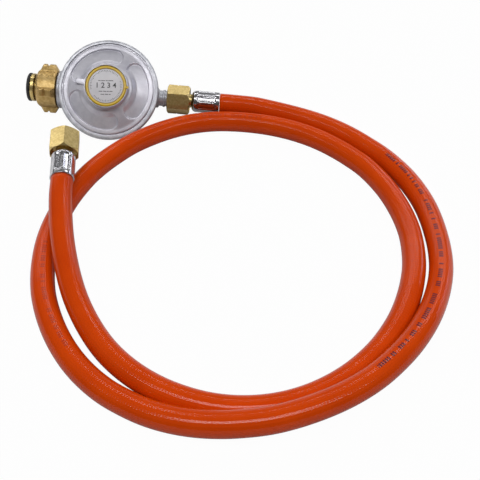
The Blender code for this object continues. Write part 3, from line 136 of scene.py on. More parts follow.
def new_material(name):
    """An empty node material with its output, and the surface node that feeds it."""
    made = bpy.data.materials.new(name)
    made.use_nodes = True
    made.node_tree.nodes.clear()
    output = made.node_tree.nodes.new("ShaderNodeOutputMaterial")
    surface = made.node_tree.nodes.new("ShaderNodeBsdfPrincipled")
    made.node_tree.links.new(surface.outputs["BSDF"], output.inputs["Surface"])
    return made, made.node_tree, surface


def maths(tree, operation, *values):
    """A sum on plain values or on output sockets."""
    made = node(tree, "ShaderNodeMath", dict(enumerate(values)), operation=operation)
    return made.outputs[0]


def ramp(tree, value, start, stop, low, high, kind="LINEAR"):
    """A value between start and stop, carried over to low and high."""
    return node(tree, "ShaderNodeMapRange", {
        "Value": value, "From Min": start, "From Max": stop, "To Min": low, "To Max": high},
        interpolation_type=kind).outputs["Result"]


def noise(tree, scale, detail, roughness=0.5):
    """A soft cloud noise on Object coordinates."""
    place = node(tree, "ShaderNodeTexCoord").outputs["Object"]
    return node(tree, "ShaderNodeTexNoise", {
        "Vector": place, "Scale": scale, "Detail": detail, "Roughness": roughness}).outputs["Fac"]


def mixed(tree, share, first, second):
    """Two colours mixed; each is a hex colour, or the socket that feeds it."""
    first, second = (linear(tone) if isinstance(tone, str) else tone for tone in (first, second))
    return node(tree, "ShaderNodeMix", {0: share, 6: first, 7: second}, data_type="RGBA").outputs[2]


def bump(tree, height, strength, distance, under=None):
    """The normal of a bump, laid over another one where there is one."""
    sockets = {"Height": height, "Strength": strength, "Distance": distance}
    if under is not None:
        sockets["Normal"] = under
    return node(tree, "ShaderNodeBump", sockets).outputs["Normal"]


def dress(tree, surface, colour, roughness, normal):
    """Joins the three maps to the surface node."""
    for name, source in (("Base Color", colour), ("Roughness", roughness), ("Normal", normal)):
        tree.links.new(source, surface.inputs[name])


def seen_share(tree, mirrored_share):
    """1 for a camera ray, and a share of 1 for a ray that metal or glass sends on."""
    rays = node(tree, "ShaderNodeLightPath").outputs
    mirrored = maths(tree, "MAXIMUM", rays["Is Glossy Ray"], rays["Is Transmission Ray"])
    faded = maths(tree, "MULTIPLY", mirrored, mirrored_share)
    return maths(tree, "MAXIMUM", rays["Is Camera Ray"], faded)


print("helpers ready")

# %% [markdown]
# The hose is soft PVC over a textile braid.  Its skin is glossy enough to draw thin lines of
# light, and the braid shows through as a fine ripple that breaks those lines.  The ripple is
# a bump from two crossed waves on the hose's own UV map, U along it and V around it.  The maker's
# print is left out; plain ink dashes stand in its place.  HOSE_LENGTH is the solid hose's length,
# and sets the scale of both.

# %% Hose material
HOSE_RADIUS = 6.65 * MM
HOSE_LENGTH = 1.2447
HOSE_LIT, HOSE_DEEP, HOSE_INK = "DC4A04", "C83C02", "3C2638"
HOSE_ROUGHNESS = (0.13, 0.18)
HOSE_IOR, HOSE_SPECULAR = 1.46, 0.18
BRAID_PITCH_MM = 3.2
BRAID_STRANDS = 14
PRINT_HEIGHT_MM = 2.4
PRINT_CELL_MM = 1.5
PRINT_LINE = 0.47
PRINT_SKIPPED, PRINT_CELL_INKED, PRINT_STRENGTH = 0.28, 0.72, 0.8
PRINT_STRETCHES = ((0.125, 0.305, 1.0), (0.475, 0.555, 0.35), (0.665, 0.745, 0.2))


def hose_material():
    """The hose's skin: two close oranges, the braid's ripple, a fine grain and the ink."""
    made, tree, surface = new_material("soft PVC hose skin")
    uv = node(tree, "ShaderNodeUVMap", uv_map="route")
    parts = node(tree, "ShaderNodeSeparateXYZ", {"Vector": uv.outputs["UV"]})
    along, around = parts.outputs["X"], parts.outputs["Y"]
    lead = maths(tree, "MULTIPLY", along, HOSE_LENGTH / (BRAID_PITCH_MM * MM) * math.tau)
    waves = []
    for hand in (1, -1):
        turn = maths(tree, "MULTIPLY", around, hand * BRAID_STRANDS * math.tau)
        waves.append(maths(tree, "SINE", maths(tree, "ADD", lead, turn)))
    mottle = noise(tree, 60.0, 3.0)
    blend = mixed(tree, mottle, HOSE_DEEP, HOSE_LIT)
    colour = mixed(tree, print_mask(tree, along, around), blend, HOSE_INK)
    ripple = bump(tree, maths(tree, "MULTIPLY", *waves), 0.16, 0.0002)
    skin = bump(tree, noise(tree, 900.0, 2.0), 0.06, 0.0001, ripple)
    dress(tree, surface, colour, ramp(tree, mottle, 0.0, 1.0, *HOSE_ROUGHNESS), skin)
    surface.inputs["IOR"].default_value = HOSE_IOR
    surface.inputs["Specular IOR Level"].default_value = HOSE_SPECULAR
    return made


def print_mask(tree, along, around):
    """The ink's strength: dashes with gaps at random, in three stretches of the hose."""
    cells = maths(tree, "MULTIPLY", along, HOSE_LENGTH / (PRINT_CELL_MM * MM))
    chance = node(tree, "ShaderNodeTexWhiteNoise", {"W": maths(tree, "FLOOR", cells)},
                  noise_dimensions="1D")
    drawn = maths(tree, "GREATER_THAN", chance.outputs["Value"], PRINT_SKIPPED)
    inked = maths(tree, "LESS_THAN", maths(tree, "FRACT", cells), PRINT_CELL_INKED)
    away = maths(tree, "ABSOLUTE", maths(tree, "SUBTRACT", around, PRINT_LINE))
    band = PRINT_HEIGHT_MM * MM / 2 / (math.tau * HOSE_RADIUS)
    mask = None
    for start, stop, wear in PRINT_STRETCHES:
        after = maths(tree, "GREATER_THAN", along, start / HOSE_LENGTH)
        before = maths(tree, "LESS_THAN", along, stop / HOSE_LENGTH)
        worn = maths(tree, "MULTIPLY", maths(tree, "MULTIPLY", after, before), wear)
        mask = worn if mask is None else maths(tree, "MAXIMUM", mask, worn)
    for factor in (drawn, inked, maths(tree, "LESS_THAN", away, band), PRINT_STRENGTH):
        mask = maths(tree, "MULTIPLY", mask, factor)
    return mask


hose_skin = hose_material()
print("hose material:", hose_skin.name)

# %% [markdown]
# The route of the hose is a list of points along its centre line, two turns and a rise to the
# loose end.  Its edges were measured at some forty places in the photograph and carried through
# the solved camera, and the line was fitted to them.  The heights are assumed: on the table, or
# on the turn below.
# It starts straight out of one ferrule and ends straight into the other.  A smooth curve through
# the points is measured, cut into equal steps, and swept as a round tube with a UV map.

# %% The route of the hose
FIRST_TURN_MM = (
    (99.0, 5.2, 6.75), (110.2, 2.0, 6.75), (121.6, -1.7, 6.75), (132.9, -5.9, 6.75),
    (143.9, -10.9, 6.75), (154.2, -16.9, 6.75), (163.9, -24.0, 6.75), (172.7, -31.9, 6.75),
    (181.2, -40.3, 6.75), (188.6, -49.7, 6.75), (195.0, -59.7, 6.75), (200.1, -70.5, 6.75),
    (204.0, -81.8, 6.75), (206.5, -93.6, 6.75), (207.9, -105.6, 6.75), (208.4, -117.6, 6.75),
    (207.5, -129.8, 7.0), (204.8, -142.0, 7.9), (200.4, -154.6, 9.9), (194.8, -166.9, 12.2),
    (188.5, -177.7, 13.7), (181.5, -187.4, 14.7), (173.6, -196.4, 15.4), (165.0, -204.7, 15.9),
    (155.6, -211.9, 16.2), (145.6, -218.0, 16.4), (135.1, -223.1, 16.4), (124.3, -227.3, 16.2),
    (113.2, -230.4, 15.7), (101.7, -232.1, 15.0), (90.2, -232.7, 14.0), (78.4, -232.0, 12.7),
    (66.6, -229.8, 11.1), (54.9, -226.1, 9.4), (43.7, -221.0, 7.9), (32.7, -214.9, 7.0),
    (22.7, -207.6, 6.75), (13.9, -199.4, 6.75), (6.2, -190.2, 6.75), (-0.5, -180.2, 6.75),
    (-6.2, -169.5, 6.75), (-10.8, -158.4, 6.75), (-14.0, -146.8, 6.75), (-16.0, -135.0, 6.75),
    (-16.9, -123.0, 6.75), (-16.4, -111.0, 6.75), (-14.6, -99.0, 6.75), (-11.8, -87.3, 6.75),
    (-7.8, -76.0, 6.75), (-2.8, -65.0, 6.75), (3.7, -54.8, 6.75), (11.2, -45.3, 6.75),
    (19.5, -36.4, 6.75), (29.1, -28.8, 6.75), (39.5, -22.1, 6.75), (50.4, -16.9, 6.75),
)
SECOND_TURN_MM = (
    (61.9, -13.2, 6.75), (73.8, -11.2, 6.75), (85.9, -10.9, 6.75), (98.0, -11.8, 6.75),
    (109.9, -13.8, 6.75), (121.4, -17.0, 6.75), (132.6, -21.5, 6.75), (143.1, -27.2, 6.75),
    (152.7, -34.0, 6.75), (161.8, -41.8, 6.75), (170.1, -50.3, 6.75), (177.0, -60.2, 6.75),
    (182.8, -70.8, 6.75), (187.3, -81.9, 6.75), (190.7, -93.4, 6.75), (192.8, -105.2, 6.75),
    (193.3, -117.3, 6.75), (192.5, -129.3, 6.75), (190.2, -141.1, 6.75), (186.7, -152.6, 6.75),
    (182.1, -163.7, 6.75), (176.3, -174.2, 6.75), (169.4, -184.1, 6.75), (161.3, -193.1, 6.75),
    (152.2, -201.2, 6.75), (142.2, -208.1, 6.75), (131.4, -213.7, 6.75), (119.9, -217.8, 6.75),
    (107.9, -220.2, 6.75), (95.8, -220.9, 6.75), (83.6, -219.9, 6.75), (71.8, -217.2, 6.75),
    (60.3, -213.1, 6.75), (49.5, -207.6, 6.75), (39.5, -200.8, 6.75), (30.3, -192.8, 6.75),
    (22.6, -184.2, 7.1),
)
END_RISE_MM = (
    (15.3, -174.2, 8.2), (8.5, -162.8, 9.9), (3.1, -151.2, 11.9), (-1.4, -139.2, 14.0),
    (-5.2, -126.8, 16.2), (-8.3, -113.9, 18.5),
)
END_GAP_MM = 0.3
HOSE_RINGS = 620
HOSE_SIDES = 28


def smooth_line(points, steps=24):
    """Points of a smooth curve through the given ones."""
    padded = [2 * points[0] - points[1]] + points + [2 * points[-1] - points[-2]]
    line = []
    for index in range(1, len(padded) - 2):
        before, start, end, after = padded[index - 1:index + 3]
        for step in range(steps):
            t = step / steps
            line.append(0.5 * (
                2 * start + (end - before) * t + (2 * before - 5 * start + 4 * end - after) * t * t
                + (3 * start - before - 3 * end + after) * t ** 3))
    line.append(points[-1])
    return line


def equal_steps(line, count):
    """Points equally far apart along a line, and the line's length."""
    lengths = [0.0]
    for first, second in zip(line, line[1:]):
        lengths.append(lengths[-1] + (second - first).length)
    points, index = [], 0
    for step in range(count):
        want = lengths[-1] * step / (count - 1)
        while index < len(line) - 2 and lengths[index + 1] < want:
            index += 1
        share = (want - lengths[index]) / (lengths[index + 1] - lengths[index])
        points.append(line[index].lerp(line[index + 1], min(share, 1.0)))
    return points, lengths[-1]


leave = OUTLET_FITTING @ Vector((-END_GAP_MM * MM, 0, 0))
leave_straight = OUTLET_FITTING @ Vector((-2 * HOSE_RADIUS, 0, 0))
arrive_straight = END_FITTING @ Vector((-2 * HOSE_RADIUS, 0, 0))
arrive = END_FITTING @ Vector((-END_GAP_MM * MM, 0, 0))
fitted = [Vector(point) * MM for point in FIRST_TURN_MM + SECOND_TURN_MM + END_RISE_MM]
route, route_length = equal_steps(
    smooth_line([leave, leave_straight] + fitted + [arrive_straight, arrive]), HOSE_RINGS)
print("hose length (m):", round(route_length, 4))

# %% [markdown]
# A curve object with a round bevel would do for a plain cord.  Here the tube is swept ring by
# ring, because the ink line and the braid need a UV map that never twists: each ring starts at
# its lowest point, whichever way the hose goes.

# %% The hose


def swept_tube(name, points, radius, sides):
    """Closed tube round a line, with the UV map 'route': U along it, V round it from below."""
    work = bmesh.new()
    rings = []
    for index, point in enumerate(points):
        ahead = points[min(index + 1, len(points) - 1)]
        behind = points[max(index - 1, 0)]
        tangent = (ahead - behind).normalized()
        side = tangent.cross(Vector((0, 0, 1))).normalized()
        upward = side.cross(tangent)
        ring = []
        for step in range(sides):
            angle = math.tau * step / sides
            outward = math.sin(angle) * side - math.cos(angle) * upward
            ring.append(work.verts.new(point + radius * outward))
        rings.append(ring)
    layer = work.loops.layers.uv.new("route")
    for index, (first, second) in enumerate(zip(rings, rings[1:])):
        for step in range(sides):
            after = (step + 1) % sides
            face = work.faces.new((first[step], second[step], second[after], first[after]))
            corners = ((index, step), (index + 1, step), (index + 1, step + 1), (index, step + 1))
            for loop, (ring_index, turn_index) in zip(face.loops, corners):
                loop[layer].uv = (ring_index / (len(points) - 1), turn_index / sides)
            face.smooth = True
    work.faces.new(rings[0])
    work.faces.new(list(reversed(rings[-1])))
    bmesh.ops.recalc_face_normals(work, faces=work.faces)
    data = bpy.data.meshes.new(name)
    work.to_mesh(data)
    work.free()
    made = bpy.data.objects.new(name, data)
    bpy.context.collection.objects.link(made)
    return made


hose = swept_tube("hose_skin", route, HOSE_RADIUS, HOSE_SIDES)
hose.data.materials.append(hose_skin)
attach(hose, "regulator")
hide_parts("hose")
print("hose rings:", HOSE_RINGS, "faces:", len(hose.data.polygons))

# %% [markdown]
# There are six metals.  Each is one mirror-like base whose roughness and colour are varied: the
# housing is a zinc casting with a fine sand-like skin, the cover has a satin silver coat, brass
# is machined, or blasted to a dull grain on the hand nut, and the ferrules are bright pressed
# steel.  Plated steel is for the pieces inside.

# %% Metals
ZINC_LIT, ZINC_DEEP = "C6C7CD", "A8A9B0"
COVER_LIT, COVER_DEEP = "CFCED6", "BBBAC4"
BRASS_LIT, BRASS_DEEP = "D0BA80", "B89F62"
STEEL_LIT, STEEL_DEEP = "C4C3C6", "AEADB2"


def metal(name, lit, deep, metallic, roughness, grain_mm, grain_strength, patch_mm):
    """A metal with patches of two tones, a grain of a real size, and roughness by the patches."""
    made, tree, surface = new_material(name)
    patches = noise(tree, 1000 / patch_mm, 4.0, 0.6)
    contrast = ramp(tree, patches, 0.35, 0.65, 0.0, 1.0)
    rough = ramp(tree, patches, 0.0, 1.0, roughness * 1.2, roughness * 0.8)
    grain = bump(tree, noise(tree, 1000 / grain_mm, 2.0), grain_strength, 0.0002)
    dress(tree, surface, mixed(tree, contrast, deep, lit), rough, grain)
    surface.inputs["Metallic"].default_value = metallic
    return made


zinc = metal("die-cast zinc", ZINC_LIT, ZINC_DEEP, 0.5, 0.42, 0.45, 0.16, 5.0)
cover_silver = metal(
    "satin silver coat on zinc", COVER_LIT, COVER_DEEP, 0.38, 0.38, 0.45, 0.30, 8.0)
brass = metal("machined brass", BRASS_LIT, BRASS_DEEP, 0.95, 0.36, 0.40, 0.22, 1.4)
blasted_brass = metal("blasted brass", "CDB078", "AF9056", 0.95, 0.50, 0.55, 0.40, 2.5)
bright_steel = metal("bright pressed steel", STEEL_LIT, STEEL_DEEP, 1.0, 0.20, 0.60, 0.004, 4.0)
plated_steel = metal("zinc-plated steel", "C4C6CC", "9EA2AA", 1.0, 0.34, 0.50, 0.08, 3.0)
METALS = (zinc, cover_silver, brass, blasted_brass, bright_steel, plated_steel)
print("metals:", [made.name for made in METALS])

# %% [markdown]
# The seal, the diaphragm and the valve pad are nitrile rubber, nearly black and dull.  The cap is
# glossy yellow ABS, its plate is pale printed aluminium foil, and the adjusting screw is acetal.

# %% Rubber and plastics


def moulded(name, lit, deep, roughness, grain_mm, grain_strength):
    """A moulded plastic or rubber: two close tones, a fine skin and an even gloss."""
    made, tree, surface = new_material(name)
    tone = noise(tree, 160.0, 3.0)
    rough = ramp(tree, tone, 0.0, 1.0, roughness * 1.15, roughness * 0.85)
    grain = bump(tree, noise(tree, 1000 / grain_mm, 1.0), grain_strength, 0.0001)
    dress(tree, surface, mixed(tree, tone, deep, lit), rough, grain)
    return made


rubber = moulded("nitrile rubber", "1C1C1E", "0E0E10", 0.55, 0.5, 0.15)
yellow_abs = moulded("glossy yellow ABS", "D8B400", "C8A200", 0.32, 0.6, 0.05)
label_foil = moulded("pale printed foil", "DCDADD", "C2C0C6", 0.42, 0.35, 0.20)
acetal = moulded("white acetal", "DADAD4", "CACAC4", 0.45, 0.5, 0.08)
ink_black = moulded("black printing ink", "2A2A2C", "1C1C1E", 0.5, 0.5, 0.02)
print("plastics:", [made.name for made in (rubber, yellow_abs, label_foil, acetal, ink_black)])

# %% [markdown]
# The turned pieces are drawn as a lathe hand would think of them: half of the section is drawn by
# pushing one point along from corner to corner, and the spin tool sweeps it right round.  A Bevel
# modifier then breaks every sharp edge by a few tenths of a millimetre, because a machined edge
# that catches the light is what tells the eye how small and how hard the piece is.

# %% A turned piece


def deselect():
    """Leaves object mode with nothing selected."""
    if bpy.context.object and bpy.context.object.mode != "OBJECT":
        bpy.ops.object.mode_set(mode="OBJECT")
    bpy.ops.object.select_all(action="DESELECT")


def name_piece(name):
    """Names the active object and its mesh."""
    made = bpy.context.object
    made.name = made.data.name = name
    return made


def turned(name, outline_mm, sides, edge_mm=0.0, edge_angle=28.0):
    """Solid turned about Z from an outline of (radius, height), closed on itself or on the axis."""
    deselect()
    radius, height = outline_mm[0]
    bpy.ops.mesh.primitive_plane_add(size=1.0, location=(0, 0, 0))
    made = name_piece(name)
    bpy.ops.object.mode_set(mode="EDIT")
    bpy.ops.mesh.select_all(action="SELECT")
    bpy.ops.mesh.merge(type="CENTER")
    bpy.ops.transform.translate(value=(radius * MM, 0, height * MM))
    for (r0, h0), (r1, h1) in zip(outline_mm, outline_mm[1:]):
        bpy.ops.mesh.extrude_vertices_move(
            TRANSFORM_OT_translate={"value": ((r1 - r0) * MM, 0, (h1 - h0) * MM)})
    bpy.ops.mesh.select_all(action="SELECT")
    if outline_mm[0][0] > 0:
        bpy.ops.mesh.edge_face_add()
        bpy.ops.mesh.delete(type="ONLY_FACE")
        bpy.ops.mesh.select_all(action="SELECT")
    bpy.ops.mesh.spin(
        steps=sides, angle=math.tau, center=(0, 0, 0), axis=(0, 0, 1), use_auto_merge=False)
    bpy.ops.mesh.select_all(action="SELECT")
    bpy.ops.mesh.remove_doubles(threshold=0.000002)
    bpy.ops.mesh.dissolve_degenerate(threshold=0.000001)
    bpy.ops.mesh.normals_make_consistent(inside=False)
    bpy.ops.object.mode_set(mode="OBJECT")
    if edge_mm:
        bevel_edges(made, edge_mm, edge_angle)
    return made


def bevel_edges(piece, width_mm, angle=28.0, segments=2):
    """Breaks the sharp edges of a piece with a live Bevel that is applied at once."""
    deselect()
    piece.select_set(True)
    bpy.context.view_layer.objects.active = piece
    broken = piece.modifiers.new("broken edges", "BEVEL")
    broken.limit_method = "ANGLE"
    broken.angle_limit = math.radians(angle)
    broken.width = width_mm * MM
    broken.segments = segments
    broken.use_clamp_overlap = True
    bpy.ops.object.modifier_apply(modifier=broken.name)


def cut(piece, tool, operation="DIFFERENCE"):
    """Cuts or joins a piece with a tool that is then thrown away."""
    deselect()
    piece.select_set(True)
    bpy.context.view_layer.objects.active = piece
    step = piece.modifiers.new(operation.lower(), "BOOLEAN")
    step.operation = operation
    step.solver = "EXACT"
    step.object = tool
    bpy.ops.object.modifier_apply(modifier=step.name)
    bpy.data.objects.remove(tool, do_unlink=True)


def box_piece(name, low_mm, high_mm, edge_mm):
    """Block between two corners, with its edges rounded."""
    low, high = Vector(low_mm) * MM, Vector(high_mm) * MM
    deselect()
    bpy.ops.mesh.primitive_cube_add(size=1.0)
    made = name_piece(name)
    size = Matrix.Diagonal((*(high - low), 1.0))
    made.data.transform(Matrix.Translation((low + high) / 2) @ size)
    bevel_edges(made, edge_mm, segments=3)
    return made


ALONG_X = Matrix.Rotation(math.pi / 2, 4, "Y")


def place_piece(piece, place, material, body, nodes=(), smooth=32.0):
    """Seats a piece: its place goes into its mesh, its edges are shaded, and it rides on a body."""
    deselect()
    piece.data.transform(place)
    piece.select_set(True)
    bpy.context.view_layer.objects.active = piece
    bpy.ops.object.shade_smooth_by_angle(angle=math.radians(smooth))
    piece.data.materials.clear()
    piece.data.materials.append(material)
    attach(piece, body)
    if nodes:
        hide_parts(*nodes)
    print(piece.name, "faces:", len(piece.data.polygons))
    return piece


# %% [markdown]
# The housing is a zinc casting: a shallow dish with a rolled lip that holds the cover down, and
# the gas pipe cast in one with it.  The dish is turned as a shell, the pipe is turned about its
# own axis and joined to it, and the hollow of the dish is cut out again.  Where the two forms
# meet, the casting has a soft fillet, which the Bevel modifier draws along the new edges.

# %% The housing
PIPE_OUTLINE_MM = (
    (0.0, 46.7), (5.8, 46.7), (6.58, 45.9), (6.58, 39.9), (5.2, 39.4), (5.2, 37.2), (5.75, 36.9),
    (5.75, 35.7), (5.2, 35.4), (5.2, 33.2), (6.2, 32.6), (6.6, 32.2), (6.6, 29.5), (8.0, 29.0),
    (8.5, 28.2), (8.6, 22.0), (7.6, 10.0), (6.7, 0.0), (7.4, -6.0), (9.2, -14.0), (10.8, -24.0),
    (12.3, -30.4), (12.5, -31.2), (12.5, -34.3), (12.1, -34.8), (0.0, -34.8),
)
DISH_OUTLINE_MM = (
    (0.0, -5.2), (8.5, -5.2), (14.5, -1.0), (21.0, 3.9), (26.3, 7.4), (27.0, 9.2), (31.3, 9.2),
    (31.3, 12.3), (30.9, 12.3), (30.9, 12.8), (31.1, 13.0), (32.1, 13.0), (32.7, 12.85),
    (33.1, 12.5), (33.3, 11.9), (33.3, 10.0), (33.2, 9.72), (32.75, 9.28), (32.2, 8.95),
    (31.4, 8.6), (29.9, 8.0), (29.0, 7.1), (27.5, 5.4), (22.0, 1.6), (16.0, -3.2), (10.5, -6.7),
    (9.0, -7.0), (0.0, -7.0),
)
HOLLOW_OUTLINE_MM = (
    (0.0, 15.0), (30.88, 15.0), (30.88, 12.28), (31.28, 12.28), (31.28, 9.22), (26.98, 9.22),
    (26.28, 7.42), (20.98, 3.92), (14.48, -0.98), (8.48, -5.18), (0.0, -5.18),
)
INLET_OUTLINE_MM = (
    (0.0, -23.1), (4.3, -23.1), (4.3, -29.3), (6.3, -29.3), (6.3, -33.2), (8.0, -33.2),
    (8.0, -36.0), (0.0, -36.0),
)
OUTLET_OUTLINE_MM = (
    (0.0, 48.0), (6.1, 48.0), (5.5, 46.7), (3.8, 42.9), (3.0, 42.9), (3.0, 14.0), (0.0, 14.0),
)
HOUSING_SIDES = 144


def housing():
    """The dish and its pipe as one casting, with its bores."""
    shell = turned("housing_casting", DISH_OUTLINE_MM, HOUSING_SIDES)
    pipe = turned("pipe_form", PIPE_OUTLINE_MM, 72)
    pipe.data.transform(ALONG_X)
    cut(shell, pipe, "UNION")
    cut(shell, turned("hollow_form", HOLLOW_OUTLINE_MM, HOUSING_SIDES))
    for name, outline in (("inlet_form", INLET_OUTLINE_MM), ("outlet_form", OUTLET_OUTLINE_MM)):
        bore = turned(name, outline, 48)
        bore.data.transform(ALONG_X)
        cut(shell, bore)
    bevel_edges(shell, 0.22, 24.0)
    return shell


place_piece(housing(), REGULATOR, zinc, "regulator", ["lower_body"])

# %% [markdown]
# The cover is spun from sheet: a boss for the cap, a cone with three curved recesses that
# stiffen it, a raised bead, and a flat flange that the housing's lip holds down.  It is turned
# with many sides and rings, and then each point inside a recess is lowered.  The recess starts
# with a long slope on the boss's side and ends in a steep, soft-cornered wall at the bead.  A
# narrow dark groove is left between the cover's edge and the housing's rolled lip.

# %% The cover
CONE_IN_MM, CONE_TOP_MM, CONE_OUT_MM, CONE_FOOT_MM = 15.5, 17.5, 25.6, 13.95
RECESSES = 3
RECESS_IN_MM, RECESS_OUT_MM = 16.0, 27.3
RECESS_HALF_ANGLE = math.radians(38.0)
RECESS_DEPTH_IN_MM, RECESS_DEPTH_OUT_MM = 1.8, 1.3
RECESS_WALL_MM = 0.85
RECESS_SLOPE_MM = 3.4
RECESS_TOP_FROM_MM, RECESS_CLEAR_OF_BOSS_MM = 12.9, 14.9
LUG_LOW_MM, LUG_HIGH_MM = (13.6, -1.9, 14.0), (20.8, 1.9, 18.6)
LUG_TURN = math.radians(171.0)
COVER_SIDES = 300
CONE_RINGS = 44


def recess_drop_mm(x, y):
    """How deep the cover is pressed at a point of its plan, in millimetres."""
    radius = math.hypot(x, y)
    middle = (RECESS_IN_MM + RECESS_OUT_MM) / 2
    half_width = (RECESS_OUT_MM - RECESS_IN_MM) / 2
    turn = math.tau / RECESSES
    angle = (math.atan2(y, x) + turn / 2) % turn - turn / 2
    if abs(angle) <= RECESS_HALF_ANGLE:
        away = abs(radius - middle)
    else:
        end = RECESS_HALF_ANGLE
        rest = abs(angle) - end
        away = math.hypot(radius * math.cos(rest) - middle, radius * math.sin(rest))
    share = min((half_width - away) / RECESS_WALL_MM, (radius - RECESS_IN_MM) / RECESS_SLOPE_MM)
    share = min(max(share, 0.0), 1.0)
    step = share * share * (3 - 2 * share)
    across = (radius - RECESS_IN_MM) / (RECESS_OUT_MM - RECESS_IN_MM)
    return step * (RECESS_DEPTH_IN_MM + (RECESS_DEPTH_OUT_MM - RECESS_DEPTH_IN_MM) * across)


def cover_outline_mm():
    """Half section of the cover from the boss's inner edge over the top and back underneath."""
    cone = []
    for ring in range(CONE_RINGS + 1):
        share = ring / CONE_RINGS
        cone.append((
            CONE_IN_MM + (CONE_OUT_MM - CONE_IN_MM) * share,
            CONE_TOP_MM + (CONE_FOOT_MM - CONE_TOP_MM) * share))
    boss = [
        (13.6, 20.5), (13.6, 22.85), (13.72, 23.0), (13.95, 22.98), (14.12, 22.8), (14.15, 22.5),
        (14.15, 18.5), (14.25, 18.1), (14.5, 17.78), (14.9, 17.58)]
    bead = [
        (25.9, 13.84), (26.2, 13.72), (26.5, 13.6), (26.8, 13.5), (27.1, 13.42), (27.4, 13.35),
        (27.7, 13.3), (28.2, 13.25), (29.2, 13.18), (29.65, 13.08), (29.95, 12.88), (30.07, 12.6),
        (30.1, 12.2), (30.1, 11.9)]
    underside = [
        (31.0, 11.9), (31.0, 10.7), (27.6, 10.7), (26.4, 11.3), (23.9, 12.1), (15.5, 15.5),
        (11.7, 15.5), (11.7, 13.7), (9.5, 13.7), (9.5, 19.0), (12.0, 19.0), (12.0, 20.5)]
    return boss + cone + bead + underside


def bonnet():
    """The cover with its recesses pressed in and its lug."""
    shell = turned("spun_cover", cover_outline_mm(), COVER_SIDES)
    for vertex in shell.data.vertices:
        x, y, z = vertex.co / MM
        if z > RECESS_TOP_FROM_MM and math.hypot(x, y) > RECESS_CLEAR_OF_BOSS_MM:
            vertex.co.z -= recess_drop_mm(x, y) * MM
    lug = box_piece("lug", LUG_LOW_MM, LUG_HIGH_MM, 0.35)
    lug.data.transform(Matrix.Rotation(LUG_TURN, 4, "Z"))
    cut(shell, lug, "UNION")
    return shell


place_piece(
    bonnet(), REGULATOR, cover_silver, "regulator", ["cover"], smooth=40.0)

# %% [markdown]
# The yellow cap seals the adjusting screw.  It is a shallow moulded plug with a rounded ring
# round a sunk plate, and a small tab that is snapped off when it is fitted.

# %% The yellow cap
CAP_OUTLINE_MM = (
    (0.0, 22.1), (11.6, 22.1), (11.6, 22.75), (11.68, 22.86), (11.85, 22.9), (12.7, 22.9),
    (13.0, 22.84), (13.2, 22.7), (13.3, 22.45), (13.3, 20.8), (11.7, 20.8), (11.7, 19.1),
    (10.1, 19.1), (10.1, 20.9), (0.0, 20.9),
)


def sealing_cap():
    """The cap with its tab."""
    cap = turned("sealing_cap", CAP_OUTLINE_MM, 160)
    cut(cap, box_piece("tab_stalk", (12.6, -0.8, 22.0), (13.2, 0.8, 23.7), 0.05), "UNION")
    cut(cap, box_piece("tab", (12.7, -0.8, 23.3), (14.9, 0.8, 23.8), 0.18), "UNION")
    return cap


place_piece(
    sealing_cap(), REGULATOR, yellow_abs, "regulator", ["yellow_cap"])

# %% [markdown]
# The plate in the cap carries print on the real one.  Here it gets something plain instead: a
# ring of ticks, three rows of short bars and the digits 1 to 4, as a graduated dial has.  The marks
# are thin raised ink, made as flat pieces and joined into one.

# %% The plate and its plain marks
PLATE_OUTLINE_MM = (
    (0.0, 22.9), (10.9, 22.9), (11.15, 22.86), (11.28, 22.74), (11.3, 22.6), (11.3, 22.4),
    (0.0, 22.4),
)
INK_TOP_MM, INK_FOOT_MM = 22.935, 22.85
TICKS, TICK_REACH_MM, TICK_WIDTH_MM = 60, 10.4, 0.26
BAR_WIDTH_MM = 0.42
BAR_ROWS_MM = (
    (3.4, ((-5.0, -3.4), (-3.0, -0.6), (-0.2, 1.2), (1.6, 4.8))),
    (-3.6, ((-4.6, -2.2), (-1.8, 0.4), (0.8, 2.0), (2.4, 4.4))),
    (-5.6, ((-3.4, -1.0), (-0.6, 1.6), (2.0, 3.2))),
)
DIGIT_HEIGHT_MM, DIGIT_HALF_DEPTH_MM = 3.6, 0.04


def ink_bar(name, middle_mm, size_mm, angle=0.0):
    """A flat printed bar that lies in the plate's face."""
    x, y = size_mm[0] / 2, size_mm[1] / 2
    made = box_piece(name, (-x, -y, INK_FOOT_MM), (x, y, INK_TOP_MM), 0.02)
    middle = Matrix.Translation(Vector((*middle_mm, 0)) * MM)
    made.data.transform(middle @ Matrix.Rotation(angle, 4, "Z"))
    return made


def ink_digits(name, text, middle_mm):
    """Plain bold digits as a thin solid."""
    deselect()
    bpy.ops.object.text_add()
    words = bpy.context.object.data
    words.body = text
    words.size = DIGIT_HEIGHT_MM * MM * 1.35
    words.align_x = words.align_y = "CENTER"
    words.offset = 0.05 * MM
    words.extrude = DIGIT_HALF_DEPTH_MM * MM
    words.resolution_u = 3
    bpy.ops.object.convert(target="MESH")
    made = name_piece(name)
    middle = Vector((*middle_mm, INK_TOP_MM - DIGIT_HALF_DEPTH_MM)) * MM
    made.data.transform(Matrix.Translation(middle))
    return made


